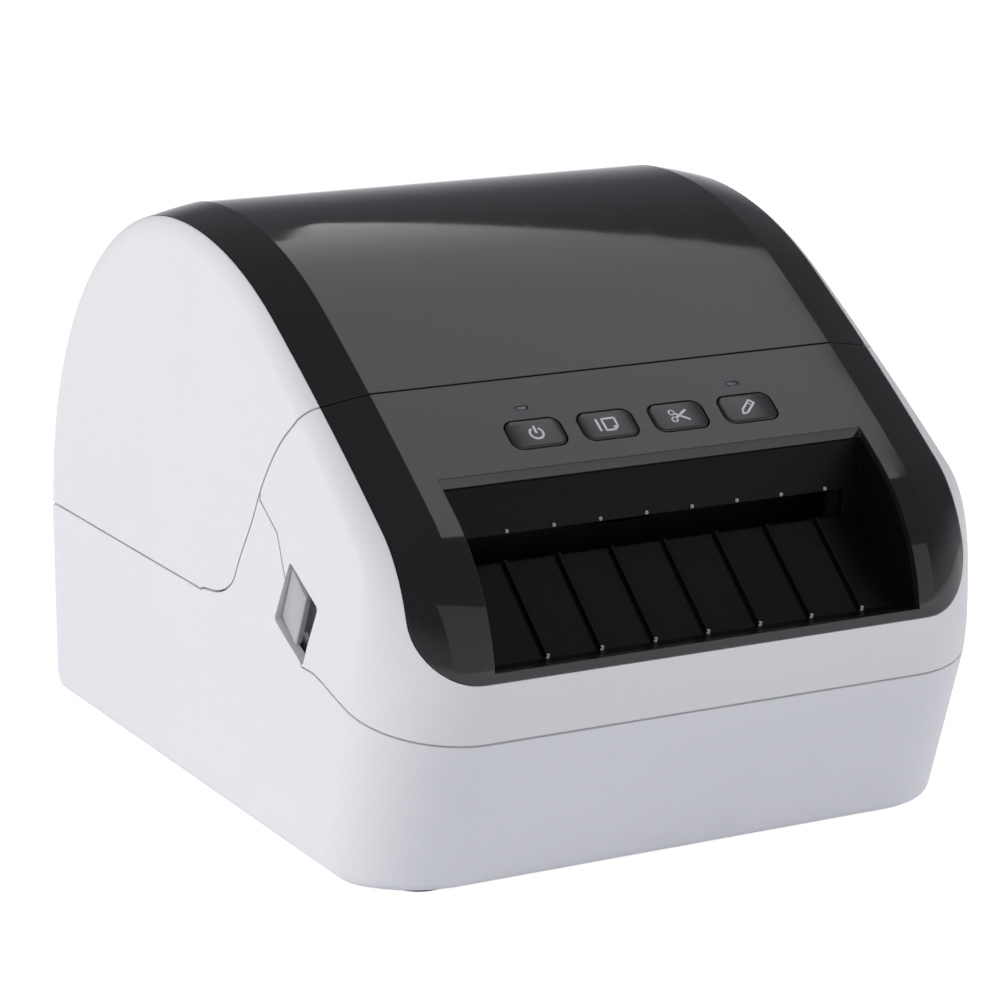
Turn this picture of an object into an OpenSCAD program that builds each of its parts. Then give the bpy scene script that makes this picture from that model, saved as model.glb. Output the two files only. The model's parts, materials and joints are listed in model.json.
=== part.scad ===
// Wide desktop label printer: a hinged cover over a roll of labels, a thermal print
// head in the cover, a geared platen and a guillotine cutter in the case, and a
// recessed tray at the front. X is the width, Y the depth with the front at -Y, and
// Z is up. The origin is on the table, at the middle of the footprint.

/* [Case] */
// Overall width of the case
body_w = 170; // [166:1:180]
// Overall depth of the case
body_d = 220; // [216:1:230]
// Overall height, feet included
body_h = 148; // [146:1:152]
// Thickness of the moulded walls
wall = 2.5; // [2:0.1:3]
// Gap at the seams between mouldings
seam = 0.5; // [0.4:0.1:0.7]
// Height that the rubber feet hold the case off the table
foot_h = 1.5; // [1:0.25:2]
// Thickness of the black panels
panel_t = 2; // [1.6:0.1:2.4]

/* [Outline] */
// Radius of the rear half of the roof
rear_roof_r = 82; // [78:1:86]
// Radius of the front half of the roof
front_roof_r = 115; // [112:1:118]
// Radius of the nose above the front face
nose_r = 49; // [47:1:51]
// Plan radius of the two front corners
front_corner_r = 25; // [22:1:28]
// Plan radius of the two rear corners
rear_corner_r = 10; // [8:1:14]
// Half of the width of the flat middle of the black panels
plateau_x = 65; // [63:0.5:67]
// Half of the width of the black panels
trim_x = 77; // [75:0.5:78]

/* [Front] */
// Width of the output tray
tray_w = 118; // [112:1:120]
// Button width
button_w = 14.8; // [12:0.2:16]
// Button height, down the slope
button_h = 8.8; // [7:0.2:9.6]
// Distance from one button to the next
button_pitch = 19.85; // [18.5:0.05:22]
// How far a button travels
button_travel = 0.8; // [0.5:0.1:1]

/* [Print path] */
// Width of the label roll
roll_w = 102; // [62:1:104]
// Outer radius of the label roll
roll_r = 42; // [34:1:43]
// Radius of the bore of the roll's core
core_r = 12.7; // [12:0.1:14]
// Radius of the platen's rubber
platen_r = 8; // [7.5:0.25:8.5]
// Tooth module of the feed gears
gear_module = 1; // [0.95:0.05:1.05]
// Radius of the cutter's crank
crank_r = 7; // [6:0.25:7.5]

/* [Hidden] */
$fn = 64;

white = "gainsboro";
gloss = "#1b1b1e";
dark = "#2a2a2d";
grey = "#8f8f93";
steel = "silver";

half_w = body_w / 2;
front_y = -body_d / 2;
rear_y = body_d / 2;
cut = 1;                    // overrun of every cut past the face it opens
far = 40;                   // reach of a cutting region past the case
clear = 0.4;                // clearance between pieces that sit side by side
run = 0.05;                 // radial clearance of a shaft in its bush
seat = 0.02;                // radial gap of a piece pressed on its shaft
floor_z = foot_h + wall;    // top of the case's floor

// Places of the roll, the platen, the print head and the blade: depth, then height
roll_in = 74;
roll_z = 62;
roll_c = [rear_y - roll_in, roll_z];
platen_in = 72;
platen_z = 80;
platen_c = [front_y + platen_in, platen_z];
head_reach = [12, 11];
head_y = [platen_c[0] - head_reach[0], platen_c[0] + head_reach[1]];
blade_in = 26.6;
blade_y = platen_c[0] - blade_in;

// Outline of the case in the side view: tangent arcs from the rear wall over the roof,
// down the sloping panel, round the nose and back under the chin
slope_top_a = 31.5;
slope_low_a = 36.5;
chin_a = 19;
low_r = 4;                  // rounding of the lower edge
roof_y = rear_y - rear_roof_r;
rear_roof_c = [roof_y, body_h - rear_roof_r];
front_roof_c = [roof_y, body_h - front_roof_r];
slope_r = (front_y - roof_y + front_roof_r * sin(slope_top_a) + nose_r * (1 - sin(slope_low_a)))
    / (sin(slope_top_a) - sin(slope_low_a));
function lean(a) = [-sin(a), cos(a)];
slope_c = front_roof_c + (front_roof_r - slope_r) * lean(slope_top_a);
nose_c = slope_c + (slope_r - nose_r) * lean(slope_low_a);

// Lean and height of the slope at a place along the depth
function slope_a(y) = asin((slope_c[0] - y) / slope_r);
function slope_z(y) = slope_c[1] + slope_r * cos(slope_a(y));

// The sides stand upright to waist_z and lean inward above it
waist_z = 56;
side_lean = 3.5;
function side_x(z) = half_w - max(0, z - waist_z) * tan(side_lean);

// How far the surface lies below the outline across the width: flat in the middle,
// falling over the black border, then rounding over to the side
border_drop = 2.7;
edge_drop = 5;
edge_power = 1.7;
inner_x = [plateau_x, (plateau_x + trim_x) / 2, trim_x];
inner_drop_shares = [0, 0.44, 1];
edge_shares = [0.35, 0.65, 0.88, 1];
station_count = len(inner_x) + len(edge_shares);
function past(k) = edge_shares[k - len(inner_x)];
function top_drop(k) = k < len(inner_x) ? border_drop * inner_drop_shares[k]
    : border_drop + edge_drop * (1 - pow(1 - pow(past(k), edge_power), 1 / edge_power));
function plan_x(k) = k < len(inner_x) ? inner_x[k] : trim_x + (half_w - trim_x) * past(k);
function corner_drop(k, r) = let (u = min(r, max(0, plan_x(k) - half_w + r)))
    r - sqrt(r * r - u * u);
function smooth(u) = let (v = min(1, max(0, u))) v * v * (3 - 2 * v);
function mix(a, b, u) = a + (b - a) * u;
function drop(k, a) = a < 0 ? mix(top_drop(k), corner_drop(k, rear_corner_r), smooth(-a / 90))
    : mix(top_drop(k), corner_drop(k, front_corner_r),
        smooth((a - slope_low_a) / (90 - slope_low_a)));

rear_roof_steps = 13;
front_roof_steps = 5;
slope_steps = 4;
nose_steps = 6;
chin_steps = 2;
low_steps = 2;
function angles(a0, a1, n) = [for (i = [0:n]) a0 + (a1 - a0) * i / n];
function arc_points(c, r, k, t, a0, a1, n) =
    [for (a = angles(a0, a1, n)) c + (r - drop(k, a) - t) * lean(a)];

// The outline at station k, moved in by t all round
function outline(k, t) = let (
    low = foot_h + t + corner_drop(k, low_r),
    chin = nose_c + (nose_r - drop(k, 90 + chin_a) - t) * lean(90 + chin_a),
    foot_z = low + low_r * (1 + cos(90 + chin_a)),
    foot = [chin[0] + (chin[1] - foot_z) * tan(chin_a), foot_z] - low_r * lean(90 + chin_a),
    rear = [rear_y - corner_drop(k, rear_corner_r) - t - low_r, low + low_r])
    concat(
        [for (a = angles(-180, -90, low_steps)) rear + low_r * lean(a)],
        arc_points(rear_roof_c, rear_roof_r, k, t, -90, 0, rear_roof_steps),
        arc_points(front_roof_c, front_roof_r, k, t, 0, slope_top_a, front_roof_steps),
        arc_points(slope_c, slope_r, k, t, slope_top_a, slope_low_a, slope_steps),
        arc_points(nose_c, nose_r, k, t, slope_low_a, 90, nose_steps),
        arc_points(nose_c, nose_r, k, t, 90, 90 + chin_a, chin_steps),
        [for (a = angles(90 + chin_a, 180, low_steps)) foot + low_r * lean(a)]);

// Place of an outline point across the width
function across_x(k, z, side_t) = k < len(inner_x) ? inner_x[k]
    : trim_x + (side_x(z) - side_t - trim_x) * past(k);

// The whole case as one crowned solid, its top and ends moved in by t and its sides
// by side_t
module envelope(t = 0, side_t = 0) {
    points = [for (side = [-1, 1], k = [0:station_count - 1], p = outline(k, t))
        [side * across_x(k, p[1], side_t), p[0], p[1]]];
    hull() polyhedron(points, [for (i = [0:len(points) - 3]) [i, i + 1, i + 2]]);
}

module box(low, high) {
    translate(low) cube(high - low);
}

// A solid of the side view's shape, from x0 to x1
module slab(x0, x1) {
    translate([x0, 0, 0]) rotate([90, 0, 90]) linear_extrude(x1 - x0) children();
}

// A solid of the front view's shape, from y0 to y1
module sheet(y0, y1) {
    translate([0, y1, 0]) rotate([90, 0, 0]) linear_extrude(y1 - y0) children();
}

// A solid of the plan's shape, from z0 to z1
module plate(z0, z1) {
    translate([0, 0, z0]) linear_extrude(z1 - z0) children();
}

// A side view region drawn right across the case
module region(points, grow = 0) {
    slab(-half_w - far, half_w + far) offset(delta = grow) polygon(points);
}

// Round bars along the three axes
module bar_x(x0, x1, y, z, r) {
    translate([x0, y, z]) rotate([0, 90, 0]) cylinder(r = r, h = x1 - x0);
}
module bar_y(y0, y1, x, z, r) {
    translate([x, y1, z]) rotate([90, 0, 0]) cylinder(r = r, h = y1 - y0);
}
module bar_z(z0, z1, x, y, r) {
    translate([x, y, z0]) cylinder(r = r, h = z1 - z0);
}

module mirrored() {
    children();
    mirror([1, 0, 0]) children();
}

// A rectangle with round corners, centred
module round_rect(w, h, r) {
    hull()
        for (x = [-1, 1], y = [-1, 1])
            translate([x * (w / 2 - r), y * (h / 2 - r)]) circle(r, $fn = 24);
}

// A frame on the sloping panel: z outward, y up the slope
module on_slope(y) {
    translate([0, y, slope_z(y)]) rotate([slope_a(y), 0, 0]) children();
}

// Hinge of the cover
hinge_r = 5.5;
hinge_z = 60;
hinge_c = [rear_y - hinge_r, hinge_z];
hinge_pin_r = 2;
knuckle_x = [50, 62];
hinge_pin_x = [42, 70];
relief_r = hinge_r + 1.5 * seam;

// Lines where the mouldings meet, in the side view
split_in = 52.7;
split_y = front_y + split_in;
split_p = [split_y, slope_z(split_y)];
split_out = lean(slope_a(split_y));
lid_low_z = 55.6;
lid_corner_in = 108.5;
lid_corner_y = front_y + lid_corner_in;
lid_edge_shares = [[0, 0.01], [0.179, 0.035], [0.314, 0.103], [0.385, 0.223], [0.493, 0.395],
    [0.579, 0.56], [0.679, 0.7], [0.78, 0.804], [0.905, 0.9]];
lid_run = lid_corner_y - split_y;
lid_rise = split_p[1] - lid_low_z;
lid_edge = [for (s = lid_edge_shares) [lid_corner_y - s[0] * lid_run, lid_low_z + s[1] * lid_rise]];
lid_region = concat([[rear_y + far, lid_low_z], [lid_corner_y + cut, lid_low_z]], lid_edge,
    [split_p - wall * split_out, split_p + far * split_out, [split_y, body_h + far],
        [rear_y + far, body_h + far]]);

front_seam_z = 41.2;
seam_low = [front_y - far, front_seam_z];
seam_run = 50;
seam_rise = 9.6;
frame_edge_shares = [[0.028, 0], [0.574, 0.635], [0.836, 0.969], [1, 1]];
frame_low_edge = [for (s = frame_edge_shares)
    [front_y + s[0] * seam_run, front_seam_z + s[1] * seam_rise]];
frame_corner_in = [66.1, 76.6];
frame_corner_z = [80, 85.8];
frame_top_corner = [front_y + frame_corner_in[0], frame_corner_z[0]];
frame_rear_corner = [front_y + frame_corner_in[1], frame_corner_z[1]];
frame_region = concat([seam_low], frame_low_edge,
    [frame_top_corner, frame_rear_corner, [frame_rear_corner[0], body_h + far],
        [front_y - far, body_h + far]]);

// The black panel over the nose, and the shelf that carries it
panel_gap = 0.3;
panel_low_z = 56.3;
panel_corner_r = 15;
shelf_t = 2;
shelf_in = panel_t + panel_gap + shelf_t;
window_w = tray_w + 2 * wall;

module front_panel_shape(grow) {
    sheet(front_y - far, roof_y)
        offset(delta = grow)
            union() {
                translate([-trim_x, panel_low_z + panel_corner_r])
                    square([2 * trim_x, body_h]);
                hull()
                    for (side = [-1, 1])
                        translate([side * (trim_x - panel_corner_r), panel_low_z + panel_corner_r])
                            circle(panel_corner_r, $fn = 48);
            }
}

// Release levers: a recess in each side, its middle, lean and size
recess_in = 53.8;
recess_z = 62.9;
recess_c = [front_y + recess_in, recess_z];
recess_a = 25;
recess_w = 18;
recess_h = 17.6;
recess_r = 1.2;
pivot_in = 60;
pivot_z = 42;
lever_pivot = [front_y + pivot_in, pivot_z];
lever_pin_r = 2.5;

module recess_shape(grow = 0) {
    translate(recess_c) rotate(recess_a) offset(delta = grow)
        round_rect(recess_w, recess_h, recess_r);
}

// Output tray
tray_t = 2;
tray_back_in = 27.4;
tray_back_y = front_y + tray_back_in;
tray_top_y = tray_back_y + 0.7 * tray_t;
tray_top_p = [tray_top_y, slope_z(tray_top_y)];
slot_top_z = 83.5;
slot_low_z = 76.6;
tray_lip_in = 6;
tray_lip_z = 58.5;
tray_front_p = [front_y + tray_lip_in, tray_lip_z];
rib_count = 8;
rib_pitch = 14.6;
rib_first_x = -42.2;
rib_w = 0.9;
rib_h = 1.1;
tray_hollow = [[tray_back_y, slot_top_z], [tray_back_y, slot_low_z], tray_front_p,
    [front_y - far, tray_front_p[1]], [front_y - far, body_h], tray_top_p + far * split_out,
    tray_top_p];

module base_case() {
    color(white) {
        difference() {
            envelope();
            envelope(wall, wall);
            region(lid_region, seam / 2);
            region(frame_region, seam / 2);
            bar_x(-half_w - cut, half_w + cut, hinge_c[0], hinge_c[1], relief_r);
            mirrored() slab(-half_w - cut, -trim_x) recess_shape();
            base_vents();
            inlet_cut();
            usb_cut();
            feet_place() bar_z(0, foot_seat_z, 0, 0, foot_r + seat);
            screw_place() bar_z(0, floor_z + cut, 0, 0, screw_r + clear);
        }
        hinge_knuckles();
        screw_bosses();
        board_posts();
        mirrored() pivot_boss();
    }
}

// Ventilation slots in the floor
vent_w = 2.4;
vent_l = 34;
vent_pitch = 6;
vent_count = 9;
vent_in = 26;
vent_y = rear_y - vent_in;
module base_vents() {
    for (i = [0:vent_count - 1])
        translate([(i - (vent_count - 1) / 2) * vent_pitch, vent_y, 0])
            plate(0, floor_z + cut) square([vent_w, vent_l], center = true);
}

// Feet, case screws and the bosses that they run into
foot_r = 7;
foot_in = [20, 24];
foot_seat = 1;
foot_seat_z = foot_h + foot_seat;
screw_r = 1.5;
screw_in = [14, 46];
screw_boss_r = 4;
screw_boss_h = 12;
module feet_place() {
    for (x = [-1, 1], y = [-1, 1])
        translate([x * (half_w - foot_in[0]), y * (rear_y - foot_in[1]) + (1 - y) * low_r / 2, 0])
            children();
}
module screw_place() {
    for (x = [-1, 1], y = [-1, 1])
        translate([x * (half_w - screw_in[0]), y * (rear_y - screw_in[1]), 0]) children();
}
module screw_bosses() {
    screw_place()
        difference() {
            bar_z(floor_z - wall / 2, floor_z + screw_boss_h, 0, 0, screw_boss_r);
            bar_z(0, floor_z + screw_boss_h + cut, 0, 0, screw_r + seat);
        }
}

module rubber_feet() {
    color("#26262a")
        feet_place() {
            bar_z(0, foot_seat_z - seat, 0, 0, foot_r);
        }
}

module case_screws() {
    color(steel)
        screw_place() {
            bar_z(foot_h + seat, foot_h + wall / 2, 0, 0, screw_r + clear - seat);
            bar_z(foot_h + wall / 2, floor_z + screw_boss_h - wall, 0, 0, screw_r);
        }
}

// Hinge: two knuckles on the case, a barrel with two notches on the cover
knuckle_web_z = 44;
module hinge_knuckles() {
    mirrored()
        difference() {
            union() {
                bar_x(knuckle_x[0] + clear, knuckle_x[1] - clear, hinge_c[0], hinge_c[1], hinge_r);
                box([knuckle_x[0] + clear, hinge_c[0], knuckle_web_z],
                    [knuckle_x[1] - clear, rear_y - wall + seat, hinge_c[1]]);
                box([knuckle_x[0] + clear, hinge_c[0], knuckle_web_z],
                    [knuckle_x[1] - clear, rear_y - wall / 2, lid_low_z - 2 * seam]);
            }
            bar_x(knuckle_x[0] - cut, knuckle_x[1] + cut, hinge_c[0], hinge_c[1],
                hinge_pin_r + seat);
        }
}
module hinge_pins() {
    color(steel)
        mirrored() bar_x(hinge_pin_x[0], hinge_pin_x[1], hinge_c[0], hinge_c[1], hinge_pin_r);
}

// Cover: a white shell with a recess for the black top panel
module cover_shell() {
    color(white)
        difference() {
            union() {
                difference() {
                    intersection() {
                        envelope();
                        region(lid_region, -seam / 2);
                    }
                    envelope(shelf_in, wall);
                    difference() {
                        box([-trim_x - panel_gap, front_y, top_panel_low_z - panel_gap],
                            [trim_x + panel_gap, rear_y + cut, body_h + cut]);
                        envelope(panel_t + panel_gap, 0);
                    }
                    box([-body_w, hinge_c[0], 0], [body_w, rear_y + cut, hinge_c[1]]);
                }
                bar_x(-trim_x, trim_x, hinge_c[0], hinge_c[1], hinge_r);
            }
            mirrored() {
                bar_x(knuckle_x[0], knuckle_x[1], hinge_c[0], hinge_c[1], relief_r);
                bar_x(hinge_pin_x[0] - cut, hinge_pin_x[1] + clear, hinge_c[0], hinge_c[1],
                    hinge_pin_r + run);
            }
        }
}

// The black top panel lies in the cover's recess, from the split to the rear wall
top_panel_low_z = 66;
module cover_top_panel() {
    color(gloss)
        difference() {
            intersection() {
                envelope();
                region(lid_region, -seam / 2);
                box([-trim_x, front_y, top_panel_low_z], [trim_x, rear_y + cut, body_h + cut]);
            }
            envelope(panel_t, 0);
        }
}

// Dark moulding inside the cover: a skin under the roof, two cheeks for the latch bar
// and two posts that the print head hangs on
liner_t = 2;
liner_in = shelf_in + clear;
liner_x = 74;
liner_reach = [7.3, 28];
liner_y = [split_y + liner_reach[0], roll_c[0] + liner_reach[1]];
cheek_x = [70, 73];
cheek_reach = [4, 8];
latch_in = 56;
latch_drop = 54.3;
latch_c = [front_y + latch_in, body_h - latch_drop];
cheek_y = [latch_c[0] - cheek_reach[0], latch_c[0] + cheek_reach[1]];
latch_r = 2;
post_x = 38;
post_y = platen_c[0];
post_r = 2.5;
post_rise = 16;
post_low_z = platen_c[1] + post_rise;
module cover_liner() {
    color(dark)
        difference() {
            union() {
                intersection() {
                    difference() {
                        envelope(liner_in, wall + clear);
                        envelope(liner_in + liner_t, wall + clear);
                    }
                    box([-liner_x, liner_y[0], slot_top_z], [liner_x, liner_y[1], body_h]);
                }
                mirrored()
                    intersection() {
                        slab(cheek_x[0], cheek_x[1])
                            polygon([[cheek_y[0], latch_c[1] - 2 * latch_r],
                                [cheek_y[1], latch_c[1] - 2 * latch_r],
                                [cheek_y[1] + far / 2, body_h], [liner_y[0], body_h],
                                [cheek_y[0], latch_c[1] + 2 * latch_r]]);
                        envelope(liner_in + liner_t / 2, wall + clear);
                    }
                mirrored()
                    intersection() {
                        bar_z(post_low_z, body_h, post_x, post_y, post_r);
                        envelope(liner_in + liner_t / 2, wall + clear);
                    }
            }
            bar_x(-half_w, half_w, latch_c[0], latch_c[1], latch_r + seat);
            mirrored() bar_z(post_low_z - cut, post_low_z + head_screw_l, post_x, post_y,
                head_screw_r + seat);
        }
}
module latch_bar() {
    color(steel) bar_x(-latch_bar_x, latch_bar_x, latch_c[0], latch_c[1], latch_r);
}

// White front frame: the surround of the black panel, with a shelf behind it
module front_frame() {
    color(white)
        difference() {
            intersection() {
                envelope();
                region(frame_region, -seam / 2);
            }
            region(lid_region, seam / 2);
            envelope(shelf_in, wall);
            difference() {
                intersection() {
                    front_panel_shape(panel_gap);
                    region([[split_y + far, 0], [front_y - far, 0], [front_y - far, body_h + far],
                        [split_y + far, body_h + far]]);
                }
                envelope(panel_t + panel_gap, 0);
            }
            slab(-window_w / 2 - clear, window_w / 2 + clear)
                polygon([[front_y - far, tray_low_z - clear], [split_y + far, tray_low_z - clear],
                    [split_y + far, body_h], [front_y - far, body_h]]);
            mirrored() slab(-half_w - cut, -trim_x) recess_shape();
        }
}

// Black panel over the slope and the nose, with openings for tray, keys and lights
button_in = 37.4;
button_y = front_y + button_in;
button_count = 4;
button_mid_x = 1.7;
button_r = 2.6;
button_gap = 0.35;
light_in = 44.4;
light_y = front_y + light_in;
light_x = [-28.3, 31.2];
light_w = 3.6;
light_h = 1.3;
function button_x(i) = button_mid_x + (i - (button_count - 1) / 2) * button_pitch;
module front_panel() {
    color(gloss)
        difference() {
            intersection() {
                envelope();
                front_panel_shape(0);
                region([[split_y + far, 0], [front_y - far, 0], [front_y - far, body_h + far],
                    [split_y + far, body_h + far]]);
            }
            envelope(panel_t, 0);
            region(lid_region, seam / 2);
            slab(-tray_w / 2, tray_w / 2) polygon(tray_hollow);
            on_slope(button_y)
                for (i = [0:button_count - 1])
                    translate([button_x(i), 0, 0]) plate(-far / 4, far / 4)
                        round_rect(button_w + 2 * button_gap, button_h + 2 * button_gap,
                            button_r + button_gap);
            on_slope(light_y)
                for (x = light_x)
                    translate([x, 0, 0]) plate(-far / 4, far / 4)
                        round_rect(light_w, light_h, light_h / 2 - seat);
        }
}

// Output tray: back wall over the exit slot, sloping ribbed floor and two side walls
tray_lift = 1.2;
tray_low_z = panel_low_z + tray_lift;
tray_in = panel_t + clear / 2;
module tray_outer() {
    intersection() {
        envelope(tray_in, wall);
        slab(-window_w / 2, window_w / 2)
            polygon([[tray_back_y + tray_t, tray_low_z + 2 * tray_t],
                [tray_back_y + tray_t, slope_z(tray_back_y + tray_t)],
                [tray_back_y - far, body_h], [front_y, body_h], [front_y, tray_low_z],
                [tray_front_p[0], tray_low_z]]);
    }
}
module tray_ribs() {
    for (i = [0:rib_count - 1])
        slab(rib_first_x + i * rib_pitch - rib_w / 2, rib_first_x + i * rib_pitch + rib_w / 2)
            polygon([[tray_back_y, slot_low_z], [tray_back_y + tray_t, slot_low_z],
                tray_front_p + [tray_t, 0], tray_front_p, tray_front_p + [0, rib_h],
                [tray_back_y, slot_low_z + rib_h]]);
}
module label_tray() {
    color(gloss) {
        difference() {
            tray_outer();
            slab(-tray_w / 2, tray_w / 2) polygon(tray_hollow);
            box([-roll_w / 2 - wall, tray_back_y - cut, slot_low_z],
                [roll_w / 2 + wall, tray_back_y + tray_t + cut, slot_top_z]);
            slab(-tray_w / 2, tray_w / 2)
                polygon([[tray_back_y + tray_t + cut, slot_low_z - tray_t],
                    [tray_back_y, slot_low_z - tray_t],
                    tray_front_p + [tray_t, -tray_t], [tray_front_p[0] + tray_t, 0],
                    [tray_back_y + tray_t + cut, 0]]);
        }
        tray_ribs();
    }
}

// Buttons: a cap in the panel's opening, a flange behind it and a stem to the switch
button_proud = 0.25;
button_t = 3;
button_lip = 0.8;
button_lip_t = 0.8;
stem_r = 1.6;
stem_l = 6.4;
module button(i) {
    on_slope(button_y)
        translate([button_x(i), 0, 0]) {
            plate(-button_t, button_proud) round_rect(button_w, button_h, button_r);
            plate(-panel_t - clear - button_lip_t, -panel_t - clear)
                round_rect(button_w + 2 * button_lip, button_h + 2 * button_lip,
                    button_r + button_lip);
            bar_z(-stem_l, -button_t, 0, 0, stem_r);
        }
}
module power_button() { color("#55565c") button(0); }
module feed_button() { color("#55565c") button(1); }
module cut_button() { color("#55565c") button(2); }
module edit_button() { color("#55565c") button(3); }
module panel_lights() {
    color("#9fb6a8")
        on_slope(light_y)
            for (x = light_x)
                translate([x, 0, 0]) {
                    plate(-panel_t - clear, 0) round_rect(light_w - clear, light_h - clear / 2,
                        (light_h - clear) / 2);
                    plate(-panel_t - clear - button_lip_t, -panel_t - clear / 2)
                        round_rect(light_w + clear, light_h + 2 * clear, light_h / 2);
                }
}

// Keypad board below the buttons, with a switch under each
switch_w = 6;
switch_h = 1.6;
plunger_r = 1.5;
plunger_l = 0.8;
plunger_top = stem_l + button_travel + clear / 2;
board_t = 1.6;
keypad_depth = plunger_top + plunger_l + switch_h;
keypad_w = 96;
keypad_h = 20;
module keypad_board() {
    color("#2f6b3f")
        on_slope(button_y)
            translate([button_mid_x, 0, 0])
                difference() {
                    plate(-keypad_depth - board_t, -keypad_depth)
                        round_rect(keypad_w, keypad_h, button_r);
                    for (x = [-1, 1])
                        bar_z(-keypad_depth - board_t - cut, cut - keypad_depth,
                            x * (keypad_w / 2 - 2 * screw_r), 0, screw_r);
                }
}
module key_switches() {
    color(steel)
        on_slope(button_y)
            for (i = [0:button_count - 1])
                translate([button_x(i), 0, 0]) {
                    box([-switch_w / 2, -switch_w / 2, -keypad_depth],
                        [switch_w / 2, switch_w / 2, switch_h - keypad_depth]);
                    bar_z(switch_h - keypad_depth, -plunger_top, 0, 0, plunger_r);
                }
}

// Release lever: a finger grip in the recess, an arm to its pivot and a hook over the
// latch bar of the cover
arm_in = 5.5;
arm_t = 3;
arm_x = [arm_in - half_w, arm_in + arm_t - half_w];
ridge_in = 0.5;
grip_ridge_x = ridge_in - half_w;
grip_rear_x = arm_x[0] + ridge_in;
grip_front_x = wall + clear - side_x(recess_c[1] + recess_h / 2);
hub_r = 5;
hook_gap = 0.4;
hook_t = 2;
hook_reach = 2.2;
hook_post = 4;
hook_post_gap = 1;
latch_bar_x = clear - grip_rear_x - ridge_in / 2;
// Room in the recess for the grip's travel, forward, down and up, and its flank's run
grip_travel = 4.3;
grip_fall = 0.95;
grip_rise = 0.6;
flank_run = 1.6;
module lever_grip() {
    w0 = -recess_w / 2 + clear;
    w1 = recess_w / 2;
    flank_w = w1 - clear - grip_travel;
    intersection() {
        translate([0, recess_c[0], recess_c[1]]) rotate([recess_a, 0, 0])
            translate([0, 0, -recess_h / 2 + clear + grip_fall])
                linear_extrude(recess_h - 2 * clear - grip_fall - grip_rise)
                    mirror([0, 1])
                        polygon([[grip_rear_x, w0 + clear], [grip_ridge_x, flank_w - flank_run],
                            [grip_front_x, flank_w], [grip_front_x, w1 + 3 * clear],
                            [arm_x[1], w1 + 3 * clear], [arm_x[1], w0 + clear]]);
        envelope(0, 0);
    }
}
module lever_arm() {
    hook_y = latch_c[0] - latch_r - hook_post_gap;
    hook_z = latch_c[1] + latch_r + hook_gap;
    slab(arm_x[0], arm_x[1])
        difference() {
            union() {
                translate(lever_pivot) circle(hub_r);
                polygon([[lever_pivot[0] - hub_r, lever_pivot[1]],
                    [lever_pivot[0] + hub_r, lever_pivot[1]],
                    recess_c + [hub_r, 0],
                    [hook_y, recess_c[1] + recess_h / 2], [hook_y, hook_z],
                    [latch_c[0] + hook_reach, hook_z], [latch_c[0] + hook_reach, hook_z + hook_t / 2],
                    [latch_c[0], hook_z + hook_t],
                    [hook_y - hook_post / 4, hook_z + hook_t], [hook_y - hook_post, hook_z],
                    [hook_y - hook_post, recess_c[1]]]);
            }
            translate(lever_pivot) circle(lever_pin_r + run);
        }
}
module lever() {
    lever_grip();
    lever_arm();
}
module left_release_lever() { color(grey) lever(); }
module right_release_lever() { color(grey) mirror([1, 0, 0]) lever(); }

// Pivot of a lever: a boss on the side wall and a steel pin with a washer
pivot_boss_r = 5;
module pivot_boss() {
    difference() {
        bar_x(-half_w + wall / 2, arm_x[0] - clear, lever_pivot[0], lever_pivot[1], pivot_boss_r);
        bar_x(-half_w + wall, arm_x[0], lever_pivot[0], lever_pivot[1], lever_pin_r + seat);
    }
}
module lever_pivots() {
    color(steel)
        mirrored() {
            bar_x(-half_w + wall, arm_x[1] + clear, lever_pivot[0], lever_pivot[1], lever_pin_r);
            bar_x(arm_x[1] + clear, arm_x[1] + 3 * clear, lever_pivot[0], lever_pivot[1], hub_r);
        }
}

// Roll of labels on its spool, in a bin with two cheeks
bin_in = 4;
bin_t = 2;
bin_gap = 5;
bin_x = roll_w / 2 + bin_gap;
bin_rim_z = 72;
journal_r = 5;
journal_end = 1.5;
flange_r = 24;
flange_t = 2.5;
core_t = 1.5;
bin_leg_x = 40;
bin_leg_t = 3;
module bin_section(r) {
    intersection() {
        translate(roll_c) circle(r);
        translate([roll_c[0] - 2 * roll_r, 0]) square([4 * roll_r, roll_c[1]]);
    }
}
module roll_bin() {
    color(dark) {
        difference() {
            union() {
                slab(-bin_x, bin_x) bin_section(roll_r + bin_in + bin_t);
                mirrored()
                    slab(bin_leg_x, bin_leg_x + bin_leg_t)
                        translate([roll_c[0] - roll_r / 2, floor_z])
                            square([roll_r, roll_c[1] - roll_r]);
                mirrored()
                    slab(bin_x - bin_t, bin_x)
                        translate([roll_c[0] - roll_r / 2, roll_c[1] - cut])
                            square([roll_r, bin_rim_z - roll_c[1] + cut]);
            }
            slab(-bin_x + bin_t, bin_x - bin_t) translate(roll_c) circle(roll_r + bin_in);
            slab(-bin_x - cut, bin_x + cut)
                union() {
                    translate(roll_c) circle(journal_r + run);
                    translate(roll_c - [journal_r + run, 0])
                        square([2 * (journal_r + run), roll_r]);
                }
        }
    }
}
module roll_spool() {
    color(grey)
        union() {
            bar_x(-roll_w / 2, roll_w / 2, roll_c[0], roll_c[1], core_r - seat);
            mirrored() {
                bar_x(roll_w / 2 + clear / 2, roll_w / 2 + clear / 2 + flange_t, roll_c[0], roll_c[1],
                    flange_r);
                bar_x(roll_w / 2 - seat, bin_x + journal_end, roll_c[0], roll_c[1], journal_r);
            }
        }
}
module roll_core() {
    color("#b08d5f")
        difference() {
            bar_x(-roll_w / 2, roll_w / 2, roll_c[0], roll_c[1], core_r + core_t);
            bar_x(-roll_w / 2 - cut, roll_w / 2 + cut, roll_c[0], roll_c[1], core_r);
        }
}
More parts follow.
